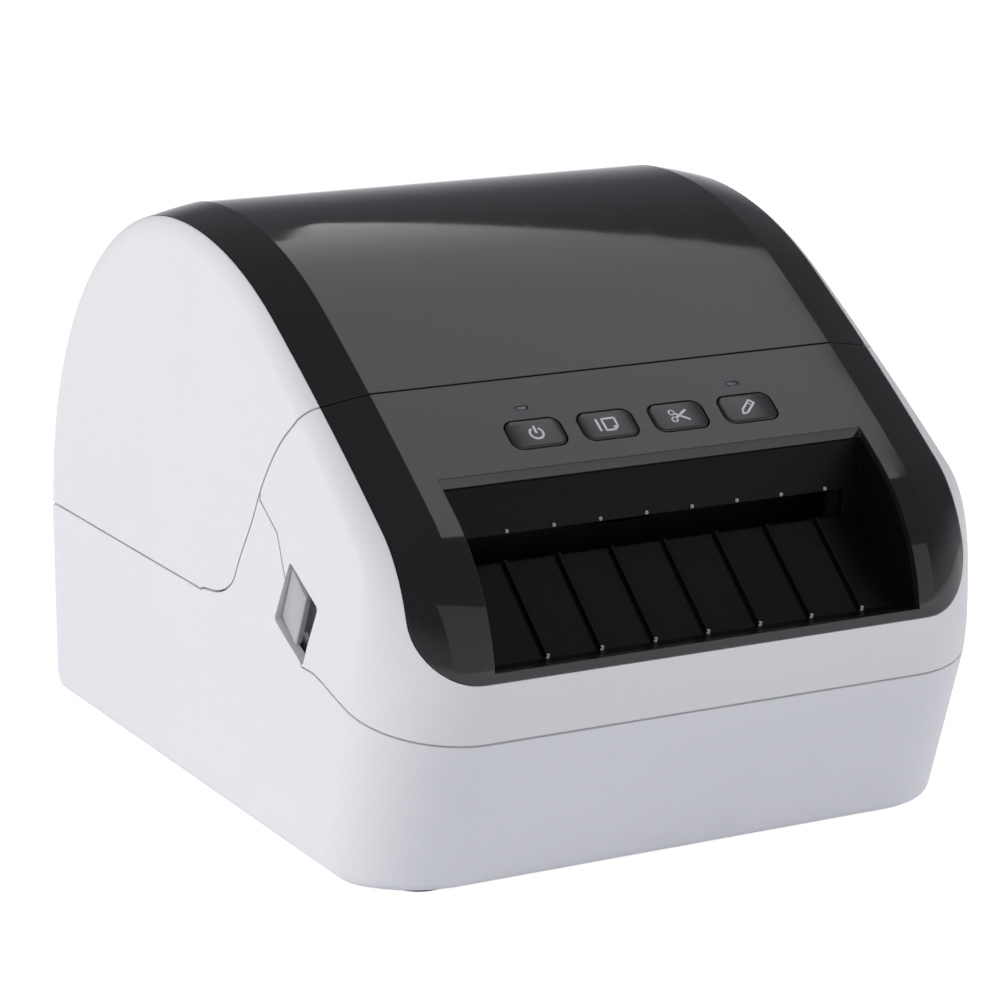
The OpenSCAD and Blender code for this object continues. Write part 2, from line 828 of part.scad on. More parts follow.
module label_roll() {
    color("white")
        difference() {
            bar_x(-roll_w / 2, roll_w / 2, roll_c[0], roll_c[1], roll_r);
            bar_x(-roll_w / 2 - cut, roll_w / 2 + cut, roll_c[0], roll_c[1], core_r + core_t + seat);
        }
}

// The web of labels from the roll over the platen to the cutter
web_t = 0.25;
web_end_gap = 2.8;
web_end_y = blade_y + web_end_gap;
web_a = 9.87;                // fall of the web from the platen to the slot
web_steps = 3;
web_r = platen_r + clear / 4;
function web_z(y) = platen_c[1] + web_r / cos(web_a) + (y - platen_c[0]) * tan(web_a);
guide_gap = 5;
web_guide = [head_y[1] + guide_gap, platen_c[1] + platen_r - cut];
web_span = web_guide - roll_c;
web_lift_r = roll_r + clear / 2;
web_off_a = atan2(web_span[1], web_span[0]) - acos(web_lift_r / norm(web_span));
web_off = roll_c + web_lift_r * [cos(web_off_a), sin(web_off_a)];
web_path = concat([web_off, web_guide],
    [for (a = angles(-web_a / 2, web_a, web_steps)) platen_c + web_r * lean(a)],
    [[web_end_y, web_z(web_end_y)]]);
module label_web() {
    color("white")
        slab(-roll_w / 2, roll_w / 2)
            polygon(concat(web_path,
                [for (i = [len(web_path) - 1:-1:0]) web_path[i] + [0, web_t]]));
}

// Side plates of steel that carry the platen and the feed gears
plate_gap = 3;
plate_in = bin_x + plate_gap;
plate_t = 1.5;
plate_reach = [11, 36];
plate_y = [platen_c[0] - plate_reach[0], roll_c[0] + plate_reach[1]];
bush_r = 5.5;
motor_off = [8, -44];
motor_c = platen_c + motor_off;
motor_r = 17.5;
motor_l = 36;
motor_hole_r = 5;
module plate_shape() {
    difference() {
        polygon([[plate_y[0], floor_z], [plate_y[0], platen_c[1] + platen_r - clear],
            [platen_c[0] + 2 * platen_r, platen_c[1] + platen_r - clear],
            [plate_y[1], roll_c[1] - journal_r], [plate_y[1], floor_z]]);
        translate(platen_c) circle(bush_r + seat);
        translate(motor_c) circle(motor_hole_r);
        translate([roll_c[0], roll_c[1]]) circle(journal_r + 2 * clear);
    }
}
module left_side_plate() { color(steel) slab(-plate_in - plate_t, -plate_in) plate_shape(); }
module right_side_plate() {
    color(steel)
        slab(plate_in, plate_in + plate_t)
            difference() {
                plate_shape();
                translate(idler_c) circle(stud_r + seat);
            }
}

// Platen: a rubber roller on a steel shaft in two flanged bushes
shaft_r = 3;
gear_gap = 1.5;
gear_x0 = plate_in + plate_t + gear_gap;
gear_w = 5;
platen_over = 3;
platen_l = roll_w + 2 * platen_over;
bush_flange_r = 7;
bush_flange_t = 0.8;
module platen_shaft() {
    color(steel)
        bar_x(-plate_in - plate_t - cut, gear_x0 + gear_w, platen_c[0], platen_c[1], shaft_r);
}
module platen_rubber() {
    color("#222226")
        difference() {
            bar_x(-platen_l / 2, platen_l / 2, platen_c[0], platen_c[1], platen_r);
            bar_x(-platen_l, platen_l, platen_c[0], platen_c[1], shaft_r + seat);
        }
}
module platen_bushes() {
    color("#c8a45a")
        mirrored()
            difference() {
                union() {
                    bar_x(plate_in, plate_in + plate_t + clear, platen_c[0], platen_c[1], bush_r);
                    bar_x(plate_in - bush_flange_t, plate_in, platen_c[0], platen_c[1],
                        bush_flange_r);
                }
                bar_x(0, half_w, platen_c[0], platen_c[1], shaft_r + run);
            }
}

// Spur gears with involute flanks and a little backlash
pressure_a = 20;
tip_share = 0.85;
root_share = 1.1;
backlash_share = 0.08;
flank_steps = 3;
function inv(a) = tan(a) * 180 / PI - a;
function tooth_a(n, m, r) = let (base = m * n / 2 * cos(pressure_a))
    90 / n * (1 - backlash_share) + inv(pressure_a) - inv(acos(min(1, base / r)));
function flank_r(n, m, s) = let (base = m * n / 2 * cos(pressure_a),
    low = max(base, m * (n / 2 - root_share)))
    low + (m * (n / 2 + tip_share) - low) * s / flank_steps;
function at(r, a) = r * [cos(a), sin(a)];
module gear_shape(n, m) {
    root = m * (n / 2 - root_share);
    polygon([for (i = [0:n - 1]) each let (mid = 360 * i / n) concat(
        [at(root, mid - tooth_a(n, m, flank_r(n, m, 0)))],
        [for (s = [0:flank_steps]) at(flank_r(n, m, s), mid - tooth_a(n, m, flank_r(n, m, s)))],
        [for (s = [flank_steps:-1:0]) at(flank_r(n, m, s), mid + tooth_a(n, m, flank_r(n, m, s)))],
        [at(root, mid + tooth_a(n, m, flank_r(n, m, 0)))])]);
}
function angle_of(v) = atan2(v[1], v[0]);

// Feed train: the motor's pinion, an idler on a stud and the platen's gear
platen_teeth = 30;
idler_teeth = 26;
motor_teeth = 14;
stud_r = 2.5;
reach_a = gear_module * (platen_teeth + idler_teeth) / 2;
reach_b = gear_module * (motor_teeth + idler_teeth) / 2;
train = motor_c - platen_c;
train_l = norm(train);
along = (reach_a * reach_a - reach_b * reach_b + train_l * train_l) / (2 * train_l);
aside = sqrt(reach_a * reach_a - along * along);
idler_c = platen_c + (along * train + aside * [-train[1], train[0]]) / train_l;
platen_turn = angle_of(idler_c - platen_c);
idler_turn = platen_turn + 180 + 180 / idler_teeth;
to_motor = angle_of(motor_c - idler_c);
motor_turn = to_motor + 180 + 180 / motor_teeth
    - (idler_turn - to_motor) * idler_teeth / motor_teeth;
module feed_gear(c, n, turn, bore) {
    difference() {
        slab(gear_x0, gear_x0 + gear_w) translate(c) rotate(turn) gear_shape(n, gear_module);
        bar_x(gear_x0 - cut, gear_x0 + gear_w + cut, c[0], c[1], bore);
    }
}
module platen_gear() {
    color("ivory") feed_gear(platen_c, platen_teeth, platen_turn, shaft_r + seat);
}
module idler_gear() {
    color("ivory") feed_gear(idler_c, idler_teeth, idler_turn, stud_r + run);
}
module idler_stud() {
    color(steel) {
        bar_x(plate_in, gear_x0 + gear_w + clear, idler_c[0], idler_c[1], stud_r);
        bar_x(plate_in + plate_t, gear_x0 - clear, idler_c[0], idler_c[1], stud_r + cut);
        bar_x(gear_x0 + gear_w + clear, gear_x0 + gear_w + 3 * clear, idler_c[0], idler_c[1],
            stud_r + cut);
    }
}
motor_shaft_r = 1.5;
module feed_motor() {
    color("#77787c")
        difference() {
            union() {
                bar_x(plate_in - motor_l, plate_in, motor_c[0], motor_c[1], motor_r);
                bar_x(plate_in - cut, plate_in + plate_t, motor_c[0], motor_c[1],
                    motor_hole_r - clear / 2);
            }
            bar_x(plate_in - gear_w, plate_in + gear_w, motor_c[0], motor_c[1],
                motor_shaft_r + run);
        }
}
module motor_pinion() {
    color("#c8a45a") {
        feed_gear(motor_c, motor_teeth, motor_turn, motor_shaft_r);
        bar_x(plate_in - gear_w + clear, gear_x0 + gear_w, motor_c[0], motor_c[1],
            motor_shaft_r);
    }
}

// Print head on the cover: a heated plate under an aluminium channel with fins, on two
// posts with springs
head_over = 3;
head_x = roll_w / 2 + head_over;
head_gap = 0.45;
head_low_z = platen_c[1] + platen_r + head_gap;
head_plate_t = 2;
channel_t = 2.5;
channel_h = 8;
fin_t = 1.2;
fin_count = 4;
head_screw_r = 1.2;
head_screw_l = 8;
module print_head() {
    color("#3c3c40")
        slab(-head_x, head_x)
            polygon([[head_y[0], head_low_z + head_plate_t], [head_y[0], head_low_z + channel_t / 2],
                [platen_c[0] - platen_r / 2, head_low_z], [head_y[1], head_low_z],
                [head_y[1], head_low_z + head_plate_t]]);
}
module head_heatsink() {
    low = head_low_z + head_plate_t;
    color("#b9bcc0")
        difference() {
            union() {
                box([-head_x, head_y[0], low], [head_x, head_y[1], low + channel_t]);
                for (i = [0:fin_count - 1])
                    translate([0, head_y[0] + (head_y[1] - head_y[0] - fin_t) * i / (fin_count - 1), 0])
                        box([-head_x, 0, low], [head_x, fin_t, low + channel_h]);
            }
            mirrored() bar_z(low - cut, low + channel_t + cut, post_x, post_y, head_screw_r + clear);
            mirrored() bar_z(low + channel_t, low + far, post_x, post_y, 2 * post_r + clear);
        }
}
spring_wire = 0.6;
spring_r = 3.9;
spring_rise = 16;
post_spring_z = post_low_z + spring_rise;
module head_springs() {
    color(steel)
        mirrored()
            difference() {
                bar_z(head_low_z + head_plate_t + channel_t + seat, post_spring_z, post_x, post_y,
                    spring_r);
                bar_z(head_low_z, body_h, post_x, post_y, spring_r - spring_wire);
            }
}
module head_screws() {
    low = head_low_z + head_plate_t;
    color(steel)
        mirrored() {
            bar_z(low + seat, post_low_z + head_screw_l - clear, post_x, post_y, head_screw_r);
            bar_z(low + channel_t + seat, post_low_z - seat, post_x, post_y, 2 * head_screw_r);
        }
}

// Cutter: a steel frame with a fixed blade, a blade that slides up past it, and a
// geared crank that drives the blade through a slot
cutter_x = plate_in - clear;
blade_t = 1;
frame_in = 18.5;
frame_y = platen_c[0] - frame_in;
frame_t = 1.5;
frame_rise = 11.5;
frame_top_z = platen_c[1] + frame_rise;
frame_slot_rise = [3.2, 9.4];
frame_slot = [platen_c[1] + frame_slot_rise[0], platen_c[1] + frame_slot_rise[1]];
crank_c = [-20, 56];
crank_low_a = -35;
crank_pin_r = 1.5;
pin_gap = 0.3;
crank_teeth = 40;
cutter_teeth = 14;
cutter_module = 0.8;
crank_gear_w = 4.3;
crank_gear_gap = 0.7;
crank_gear_y = [frame_y - crank_gear_gap - crank_gear_w, frame_y - crank_gear_gap];
blade_stroke = 2 * crank_r * sin(-crank_low_a);
pin_low = crank_c + crank_r * [cos(crank_low_a), sin(crank_low_a)];
blade_over = 3;
blade_x = roll_w / 2 + blade_over;
blade_top_z = platen_c[1] + clear;
blade_vee = 3;
blade_h = 16;
blade_low_z = platen_c[1] - blade_h;
blade_tab = 9;
guide_in = 1;
guide_w = 5;
guide_x = [blade_x - guide_in, blade_x - guide_in + guide_w];
module cutter_frame() {
    color(steel)
        difference() {
            union() {
                sheet(frame_y, frame_y + frame_t)
                    translate([-cutter_x, floor_z]) square([2 * cutter_x, frame_top_z - floor_z]);
                box([-cutter_x, blade_y - 2 * clear, frame_top_z - frame_t],
                    [cutter_x, frame_y + frame_t, frame_top_z]);
                mirrored()
                    box([guide_x[0], blade_y - 2 * clear - frame_t, blade_low_z - blade_tab],
                        [guide_x[1], frame_y, blade_top_z]);
            }
            box([-roll_w / 2 - wall, frame_y - cut, frame_slot[0]],
                [roll_w / 2 + wall, frame_y + frame_t + cut, frame_slot[1]]);
            mirrored()
                box([0, blade_y - clear, floor_z], [blade_x + clear, blade_y + blade_t + clear,
                    blade_top_z + cut]);
            bar_y(frame_y - cut, frame_y + frame_t + cut, crank_c[0], crank_c[1], stud_r + seat);
            bar_y(frame_y - cut, frame_y + frame_t + cut, cutter_motor_c[0], cutter_motor_c[1],
                motor_hole_r);
        }
}
module fixed_blade() {
    color("#d5d7da")
        box([-blade_x, blade_y - 2 * clear - blade_t, web_z(blade_y) + 2 * cut],
            [blade_x, blade_y - 2 * clear, frame_top_z]);
}
module moving_blade() {
    color("#d5d7da")
        sheet(blade_y, blade_y + blade_t)
            difference() {
                union() {
                    polygon([[-blade_x, blade_low_z], [blade_x, blade_low_z], [blade_x, blade_top_z],
                        [0, blade_top_z - blade_vee], [-blade_x, blade_top_z]]);
                    translate([crank_c[0] - blade_tab, pin_low[1] - blade_tab / 2])
                        square([crank_r + 2 * blade_tab, blade_low_z - pin_low[1] + blade_tab / 2 + cut]);
                }
                hull()
                    for (x = [pin_low[0], crank_c[0] + crank_r])
                        translate([x, pin_low[1]]) circle(crank_pin_r + pin_gap);
            }
}
module cutter_gear(c, n, turn, bore) {
    difference() {
        sheet(crank_gear_y[0], crank_gear_y[1])
            translate(c) rotate(turn) gear_shape(n, cutter_module);
        bar_y(crank_gear_y[0] - cut, crank_gear_y[1] + cut, c[0], c[1], bore);
    }
}
cutter_motor_c = crank_c - [cutter_module * (crank_teeth + cutter_teeth) / 2, 0];
module crank_gear() {
    color("ivory") {
        cutter_gear(crank_c, crank_teeth, 180, stud_r + run);
        bar_y(blade_y - clear / 2, crank_gear_y[0] + seat, pin_low[0], pin_low[1], crank_pin_r);
    }
}
module crank_stud() {
    color(steel) {
        bar_y(crank_gear_y[0] - clear, frame_y + frame_t, crank_c[0], crank_c[1], stud_r);
        bar_y(crank_gear_y[0] - 3 * clear, crank_gear_y[0] - clear, crank_c[0], crank_c[1],
            stud_r + cut);
    }
}
cutter_motor_r = 12;
cutter_motor_l = 30;
module cutter_motor() {
    color("#77787c")
        difference() {
            union() {
                bar_y(frame_y + frame_t, frame_y + frame_t + cutter_motor_l, cutter_motor_c[0],
                    cutter_motor_c[1], cutter_motor_r);
                bar_y(frame_y, frame_y + frame_t + cut, cutter_motor_c[0], cutter_motor_c[1],
                    motor_hole_r - clear / 2);
            }
            bar_y(frame_y - cut, frame_y + frame_t + gear_w, cutter_motor_c[0],
                cutter_motor_c[1], motor_shaft_r + run);
        }
}
module cutter_pinion() {
    color("#c8a45a") {
        cutter_gear(cutter_motor_c, cutter_teeth, 180 / cutter_teeth, motor_shaft_r);
        bar_y(crank_gear_y[0], frame_y + frame_t + gear_w - clear, cutter_motor_c[0],
            cutter_motor_c[1], motor_shaft_r);
    }
}

// Main board on four posts, its parts, and the power supply at the rear
board_z = 8;
board_in = 19;
main_board_x = half_w - board_in;
board_gap = 4.5;
chin_p = nose_c + nose_r * lean(90 + chin_a);
board_front_y = chin_p[0] + (chin_p[1] - board_z) * tan(chin_a) + 2 * wall + clear;
main_board_y = [board_front_y, frame_y - board_gap];
post_in = 4;
board_post_r = 3;
supply_side = 29;
supply_x = half_w - supply_side;
supply_in = [46, 10];
supply_y = [rear_y - supply_in[0], rear_y - supply_in[1]];
module board_corners() {
    for (x = [-1, 1], y = main_board_y + [post_in, -post_in])
        translate([x * (main_board_x - post_in), y, 0]) children();
    for (x = [-1, 1], y = supply_y + [post_in, -post_in])
        translate([x * (supply_x - post_in), y, 0]) children();
}
module board_posts() {
    board_corners() bar_z(floor_z - wall / 2, board_z, 0, 0, board_post_r);
}
module main_board() {
    color("#2f6b3f") box([-main_board_x, main_board_y[0], board_z],
        [main_board_x, main_board_y[1], board_z + board_t]);
}
chip_w = 14;
chip_t = 1.6;
plug_w = 20;
plug_d = 6;
plug_h = 8;
module board_parts() {
    top = board_z + board_t;
    mid_y = (main_board_y[0] + main_board_y[1]) / 2;
    color("#26262a") {
        box([-chip_w / 2, mid_y - chip_w / 2, top], [chip_w / 2, mid_y + chip_w / 2, top + chip_t]);
        box([2 * chip_w, mid_y - chip_w / 2, top], [3 * chip_w - plug_d / 2, mid_y, top + chip_t]);
        for (i = [-1, 1])
            box([i * 2 * plug_w - plug_w / 2, main_board_y[1] - plug_d - post_in / 2, top],
                [i * 2 * plug_w + plug_w / 2, main_board_y[1] - post_in / 2, top + plug_h]);
    }
    color("#3a4a7a")
        for (i = [0:2])
            bar_z(top, top + plug_h, -3 * chip_w + i * chip_w * 2 / 3, mid_y - post_in, post_in);
}
transformer = [28, 22, 20];
capacitor_r = 7;
capacitor_h = 18;
capacitor_gap = 2;
module power_supply() {
    color("#2f6b3f") box([-supply_x, supply_y[0], board_z],
        [supply_x, supply_y[1], board_z + board_t]);
    color("#b5a642")
        translate([0, supply_y[1] - transformer[1] - post_in, board_z + board_t]) cube(transformer);
    color("#26262a")
        for (i = [0:1])
            bar_z(board_z + board_t, board_z + board_t + capacitor_h,
                -2 * capacitor_r - i * (2 * capacitor_r + capacitor_gap),
                supply_y[1] - 2 * capacitor_r - post_in, capacitor_r);
}

// Sockets in the rear wall
inlet_c = [-44, 22];
inlet_w = 22;
inlet_h = 12;
inlet_d = 18;
inlet_mouth = [16, 8];
inlet_depth = 12;
inlet_pin_r = 1.2;
inlet_pin_x = 4.3;
module inlet_cut() {
    sheet(rear_y - 2 * wall, rear_y + cut) translate(inlet_c)
        square([inlet_w + 2 * seat, inlet_h + 2 * seat], center = true);
}
module power_inlet() {
    color("#26262a")
        difference() {
            sheet(rear_y - inlet_d, rear_y) translate(inlet_c)
                square([inlet_w, inlet_h], center = true);
            sheet(rear_y - inlet_depth, rear_y + cut) translate(inlet_c)
                round_rect(inlet_mouth[0], inlet_mouth[1], inlet_mouth[1] / 2 - seat);
        }
    color(steel)
        for (side = [-1, 1])
            bar_y(rear_y - inlet_depth - seat, rear_y - wall, inlet_c[0] + side * inlet_pin_x,
                inlet_c[1], inlet_pin_r);
}
usb_c = [44, 20];
usb_w = 12;
usb_h = 11;
usb_d = 16;
usb_mouth = [8.5, 7.8];
usb_tongue = [5.6, 3.2];
usb_depth = 10;
module usb_cut() {
    sheet(rear_y - 2 * wall, rear_y + cut) translate(usb_c)
        square([usb_w + 2 * seat, usb_h + 2 * seat], center = true);
}
module usb_port() {
    color(steel)
        difference() {
            sheet(rear_y - usb_d, rear_y) translate(usb_c) square([usb_w, usb_h], center = true);
            sheet(rear_y - usb_depth, rear_y + cut) translate(usb_c)
                difference() {
                    square(usb_mouth, center = true);
                    square(usb_tongue, center = true);
                }
        }
}

base_case();
front_frame();
front_panel();
label_tray();
cover_shell();
cover_top_panel();
cover_liner();
power_button();
feed_button();
cut_button();
edit_button();
panel_lights();
left_release_lever();
right_release_lever();
lever_pivots();
latch_bar();
rubber_feet();
case_screws();
hinge_pins();
roll_bin();
left_side_plate();
right_side_plate();
roll_spool();
roll_core();
label_roll();
label_web();
platen_shaft();
platen_rubber();
platen_gear();
platen_bushes();
idler_gear();
idler_stud();
feed_motor();
motor_pinion();
print_head();
head_heatsink();
head_springs();
head_screws();
cutter_frame();
fixed_blade();
moving_blade();
crank_gear();
crank_stud();
cutter_motor();
cutter_pinion();
keypad_board();
key_switches();
main_board();
board_parts();
power_supply();
power_inlet();
usb_port();
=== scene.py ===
# %% [markdown]
# # A wide desktop label printer, dressed for its picture
#
# The printer is a white moulded case with a glossy black strip that runs from the back
# over the roof and down the sloping front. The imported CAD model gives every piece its
# place. This lesson keeps that model as a fixed frame, swaps the moulded shells for finer
# ones that follow the same shape law, and gives every surface its finish. The frame comes
# first, because each piece rides on one of its bodies.

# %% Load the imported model
import json
import math

import bmesh
import bpy
import numpy as np
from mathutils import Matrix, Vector

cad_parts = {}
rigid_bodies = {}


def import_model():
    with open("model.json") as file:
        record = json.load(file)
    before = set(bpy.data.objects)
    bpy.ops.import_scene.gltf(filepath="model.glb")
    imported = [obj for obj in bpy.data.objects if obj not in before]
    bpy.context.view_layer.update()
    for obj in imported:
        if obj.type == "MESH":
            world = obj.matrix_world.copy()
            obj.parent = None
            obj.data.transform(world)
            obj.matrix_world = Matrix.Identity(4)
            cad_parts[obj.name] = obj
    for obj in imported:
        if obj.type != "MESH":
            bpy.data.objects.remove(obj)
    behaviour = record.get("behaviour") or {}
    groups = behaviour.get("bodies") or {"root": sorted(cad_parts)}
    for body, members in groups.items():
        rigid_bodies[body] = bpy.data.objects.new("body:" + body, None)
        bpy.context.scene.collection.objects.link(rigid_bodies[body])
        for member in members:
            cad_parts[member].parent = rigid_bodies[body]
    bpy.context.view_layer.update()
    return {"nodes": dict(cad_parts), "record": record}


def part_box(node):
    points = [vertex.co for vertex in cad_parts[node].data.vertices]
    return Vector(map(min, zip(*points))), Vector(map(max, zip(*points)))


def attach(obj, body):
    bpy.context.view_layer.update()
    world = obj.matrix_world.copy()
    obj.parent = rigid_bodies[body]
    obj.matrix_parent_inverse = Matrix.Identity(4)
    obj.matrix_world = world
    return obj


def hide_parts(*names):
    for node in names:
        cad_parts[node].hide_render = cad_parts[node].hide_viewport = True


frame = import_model()
scene = bpy.context.scene

# %% [markdown]
# ## Camera
#
# The picture was taken with a long lens from the front left, a little above the roof.
# A camera in Blender looks along its own -Z, so its turn comes from the direction of view.

# %% Set the camera
lens_mm, sensor_mm, near_clip = 133.0, 36.0, 0.05
camera_data = bpy.data.cameras.new("product_camera")
camera_data.lens = lens_mm
camera_data.sensor_width = sensor_mm
camera_data.clip_start = near_clip
camera = bpy.data.objects.new("product_camera", camera_data)
scene.collection.objects.link(camera)
view_direction = Vector((0.4566, 0.8559, -0.2429))
camera.location = (-0.4421, -0.8303, 0.3042)
camera.rotation_euler = view_direction.to_track_quat("-Z", "Y").to_euler()
scene.camera = camera
scene.view_settings.view_transform = "Standard"
print("camera looks along", tuple(round(v, 3) for v in view_direction))

# %% [markdown]
# ## The shape law of the case
#
# The real case is one crowned body that was cut into mouldings afterwards: tangent arcs
# run from the rear wall over the roof, down the slope, round the nose and back under the
# chin. Across the width the surface is flat in the middle, falls over a border and rounds
# over to the sides. Writing this law once means that every shell made from it meets its
# neighbours exactly. Sizes are in millimetres here and become metres in the mesh.

# %% Sizes of the case
half_w, front_y, rear_y, height = 85.0, -110.0, 110.0, 148.0
wall, seam, foot_h, panel_t, panel_gap = 2.5, 0.5, 1.5, 2.0, 0.3
shelf_in = panel_t + panel_gap + 2.0
rear_roof_r, front_roof_r, nose_r, low_r = 82.0, 115.0, 49.0, 4.0
front_corner_r, rear_corner_r = 25.0, 10.0
plateau_x, trim_x = 65.0, 77.0
waist_z, side_lean = 56.0, math.tan(math.radians(3.5))
border_drop, edge_drop, edge_power = 2.7, 5.0, 1.7
slope_top_a, slope_low_a, chin_a = 31.5, 36.5, 19.0
hinge_y, hinge_z, barrel_r, relief_r = 104.5, 60.0, 5.5, 6.25
pivot_y, pivot_z, pivot_r = -50.0, 42.0, 5.0
strip_low_z, tray_half_w = 66.0, 61.5
mm = 0.001


def lean(angle):
    """Direction in the side view at an angle from upright, positive towards the front."""
    turn = math.radians(angle)
    return np.array([-math.sin(turn), math.cos(turn)])


rear_roof_c = np.array([rear_y - rear_roof_r, height - rear_roof_r])
front_roof_c = np.array([rear_y - rear_roof_r, height - front_roof_r])
top_sine = math.sin(math.radians(slope_top_a))
low_sine = math.sin(math.radians(slope_low_a))
slope_span = front_y - rear_roof_c[0] + front_roof_r * top_sine + nose_r * (1 - low_sine)
slope_r = slope_span / (top_sine - low_sine)
slope_c = front_roof_c + (front_roof_r - slope_r) * lean(slope_top_a)
nose_c = slope_c + (slope_r - nose_r) * lean(slope_low_a)
print("slope radius", round(slope_r, 1), "nose centre", nose_c.round(2))


# %% Heights and drops of the surface
def slope_angle(y):
    return math.degrees(math.asin((slope_c[0] - y) / slope_r))


def slope_height(y):
    return slope_c[1] + slope_r * math.cos(math.radians(slope_angle(y)))


def smooth_step(u):
    v = min(1.0, max(0.0, u))
    return v * v * (3 - 2 * v)


def side_x(z):
    return half_w - max(0.0, z - waist_z) * side_lean


def top_drop(s):
    if s <= plateau_x:
        return 0.0
    if s <= trim_x:
        q = (s - plateau_x) / (trim_x - plateau_x)
        return border_drop * (0.76 * q + 0.24 * q * q)
    p = min(1.0, (s - trim_x) / (half_w - trim_x))
    return border_drop + edge_drop * (1 - (1 - p ** edge_power) ** (1 / edge_power))


def corner_drop(s, radius):
    u = min(radius, max(0.0, s - half_w + radius))
    return radius - math.sqrt(radius * radius - u * u)


def drop(s, angle):
    if angle < 0:
        u = smooth_step(-angle / 90)
        return top_drop(s) * (1 - u) + corner_drop(s, rear_corner_r) * u
    u = smooth_step((angle - slope_low_a) / (90 - slope_low_a))
    return top_drop(s) * (1 - u) + corner_drop(s, front_corner_r) * u


print("height of the slope at the split:", round(slope_height(-57.3), 2))


# %% The outline at one place across the width
def spread(low, high, count):
    return [low + (high - low) * i / count for i in range(count + 1)]


def side_outline(s, inset, detail):
    """Points of the side view's outline at s across, moved in by inset."""
    low = foot_h + inset + corner_drop(s, low_r)
    rear = np.array([rear_y - corner_drop(s, rear_corner_r) - inset - low_r, low + low_r])
    chin = nose_c + (nose_r - drop(s, 90 + chin_a) - inset) * lean(90 + chin_a)
    foot_z = low + low_r * (1 + math.cos(math.radians(90 + chin_a)))
    reach = (chin[1] - foot_z) * math.tan(math.radians(chin_a))
    foot = np.array([chin[0] + reach, foot_z]) - low_r * lean(90 + chin_a)
    arcs = [
        (rear_roof_c, rear_roof_r, spread(-90, 0, round(60 * detail))),
        (front_roof_c, front_roof_r, spread(0, slope_top_a, round(30 * detail))[1:]),
        (slope_c, slope_r, spread(slope_top_a, slope_low_a, round(30 * detail))[1:]),
        (nose_c, nose_r, spread(slope_low_a, 90, round(36 * detail))[1:]),
        (nose_c, nose_r, spread(90, 90 + chin_a, round(10 * detail))[1:]),
    ]
    loop = [rear + low_r * lean(a) for a in spread(-180, -90, 5)]
    roof_start = rear_roof_c + (rear_roof_r - drop(s, -90) - inset) * lean(-90)
    loop += [loop[-1] + (roof_start - loop[-1]) * f for f in (0.25, 0.5, 0.75)]
    for centre, radius, angles in arcs:
        loop += [centre + (radius - drop(s, a) - inset) * lean(a) for a in angles]
    foot_start = foot + low_r * lean(90 + chin_a)
    loop += [loop[-1] + (foot_start - loop[-1]) * f for f in (0.2, 0.4, 0.6, 0.8)]
    loop += [foot + low_r * lean(a) for a in spread(90 + chin_a, 180, 5)]
    loop += [loop[-1] + (loop[0] - loop[-1]) * f for f in (0.2, 0.4, 0.6, 0.8)]
    return np.array(loop)


print(len(side_outline(0, 0, 1)), "points round the outline")


# %% [markdown]
# ## From the law to a closed solid
#
# Columns of outline points, one for each place across the width, make a grid that closes
# on itself. The two sides are filled with rings that shrink towards a centre on the waist
# line, so that the crease of the leaning side wall stays straight. A dense regular grid
# reflects cleanly, which matters on gloss plastic.

# %% Build the crowned solid
def new_piece(name, vertices, faces):
    mesh = bpy.data.meshes.new(name)
    mesh.from_pydata([tuple(v) for v in vertices], [], faces)
    piece = bpy.data.objects.new(name, mesh)
    scene.collection.objects.link(piece)
    work = bmesh.new()
    work.from_mesh(mesh)
    bmesh.ops.recalc_face_normals(work, faces=work.faces)
    work.to_mesh(mesh)
    work.free()
    return piece


def crowned_solid(name, inset=0.0, side_inset=0.0, detail=1.0):
    inner = [0, 16, 32, 48, 58, 61, 63, 65, 67, 69, 71, 73, 75, 77]
    edge = [math.sin(math.radians(t)) ** (2 / edge_power) for t in spread(0, 90, 16)[1:]]
    right = inner + [trim_x + (half_w - trim_x) * p for p in edge]
    columns = [-s for s in reversed(right[1:])] + right
    points = []
    for column in columns:
        s = abs(column)
        side = -1 if column < 0 else 1
        for y, z in side_outline(s, inset, detail):
            x = s
            if s > trim_x:
                p = (s - trim_x) / (half_w - trim_x)
                x = trim_x + (side_x(z) - side_inset - trim_x) * p
            points.append((side * x, y, z))
    n = len(points) // len(columns)
    faces = []
    for c in range(len(columns) - 1):
        for j in range(n):
            k = (j + 1) % n
            faces.append((c * n + j, c * n + k, (c + 1) * n + k, (c + 1) * n + j))
    for side, start in ((-1, 0), (1, (len(columns) - 1) * n)):
        rim = [points[start + j] for j in range(n)]
        ring = [start + j for j in range(n)]
        for scale in (0.85, 0.7, 0.55, 0.4, 0.25, 0.1):
            base = len(points)
            for _, y, z in rim:
                zz = waist_z + (z - waist_z) * scale
                points.append((side * (side_x(zz) - side_inset), y * scale, zz))
            for j in range(n):
                k = (j + 1) % n
                faces.append((ring[j], ring[k], base + k, base + j))
            ring = [base + j for j in range(n)]
        points.append((side * (half_w - side_inset), 0.0, waist_z))
        faces += [(ring[j], ring[(j + 1) % n], len(points) - 1) for j in range(n)]
    return new_piece(name, np.array(points) * mm, faces)


# %% [markdown]
# ## Cutting tools
#
# The mouldings meet along lines drawn in the side view. Each line becomes a prism that
# runs right across the case, and a Boolean takes it out of the solid, the way a designer
# splits a body. The prisms are throwaway objects: the result of each cut is stored as a
# plain mesh and the tool is deleted.

# %% Prisms, bars and cuts
def loops_solid(name, low, high):
    n = len(low)
    faces = [tuple(range(n)), tuple(range(2 * n - 1, n - 1, -1))]
    faces += [(j, (j + 1) % n, n + (j + 1) % n, n + j) for j in range(n)]
    return new_piece(name, np.array(list(low) + list(high)) * mm, faces)


def side_prism(name, outline, x0, x1):
    """A shape of the side view, from x0 to x1."""
    return loops_solid(name, [(x0, y, z) for y, z in outline],
                       [(x1, y, z) for y, z in outline])


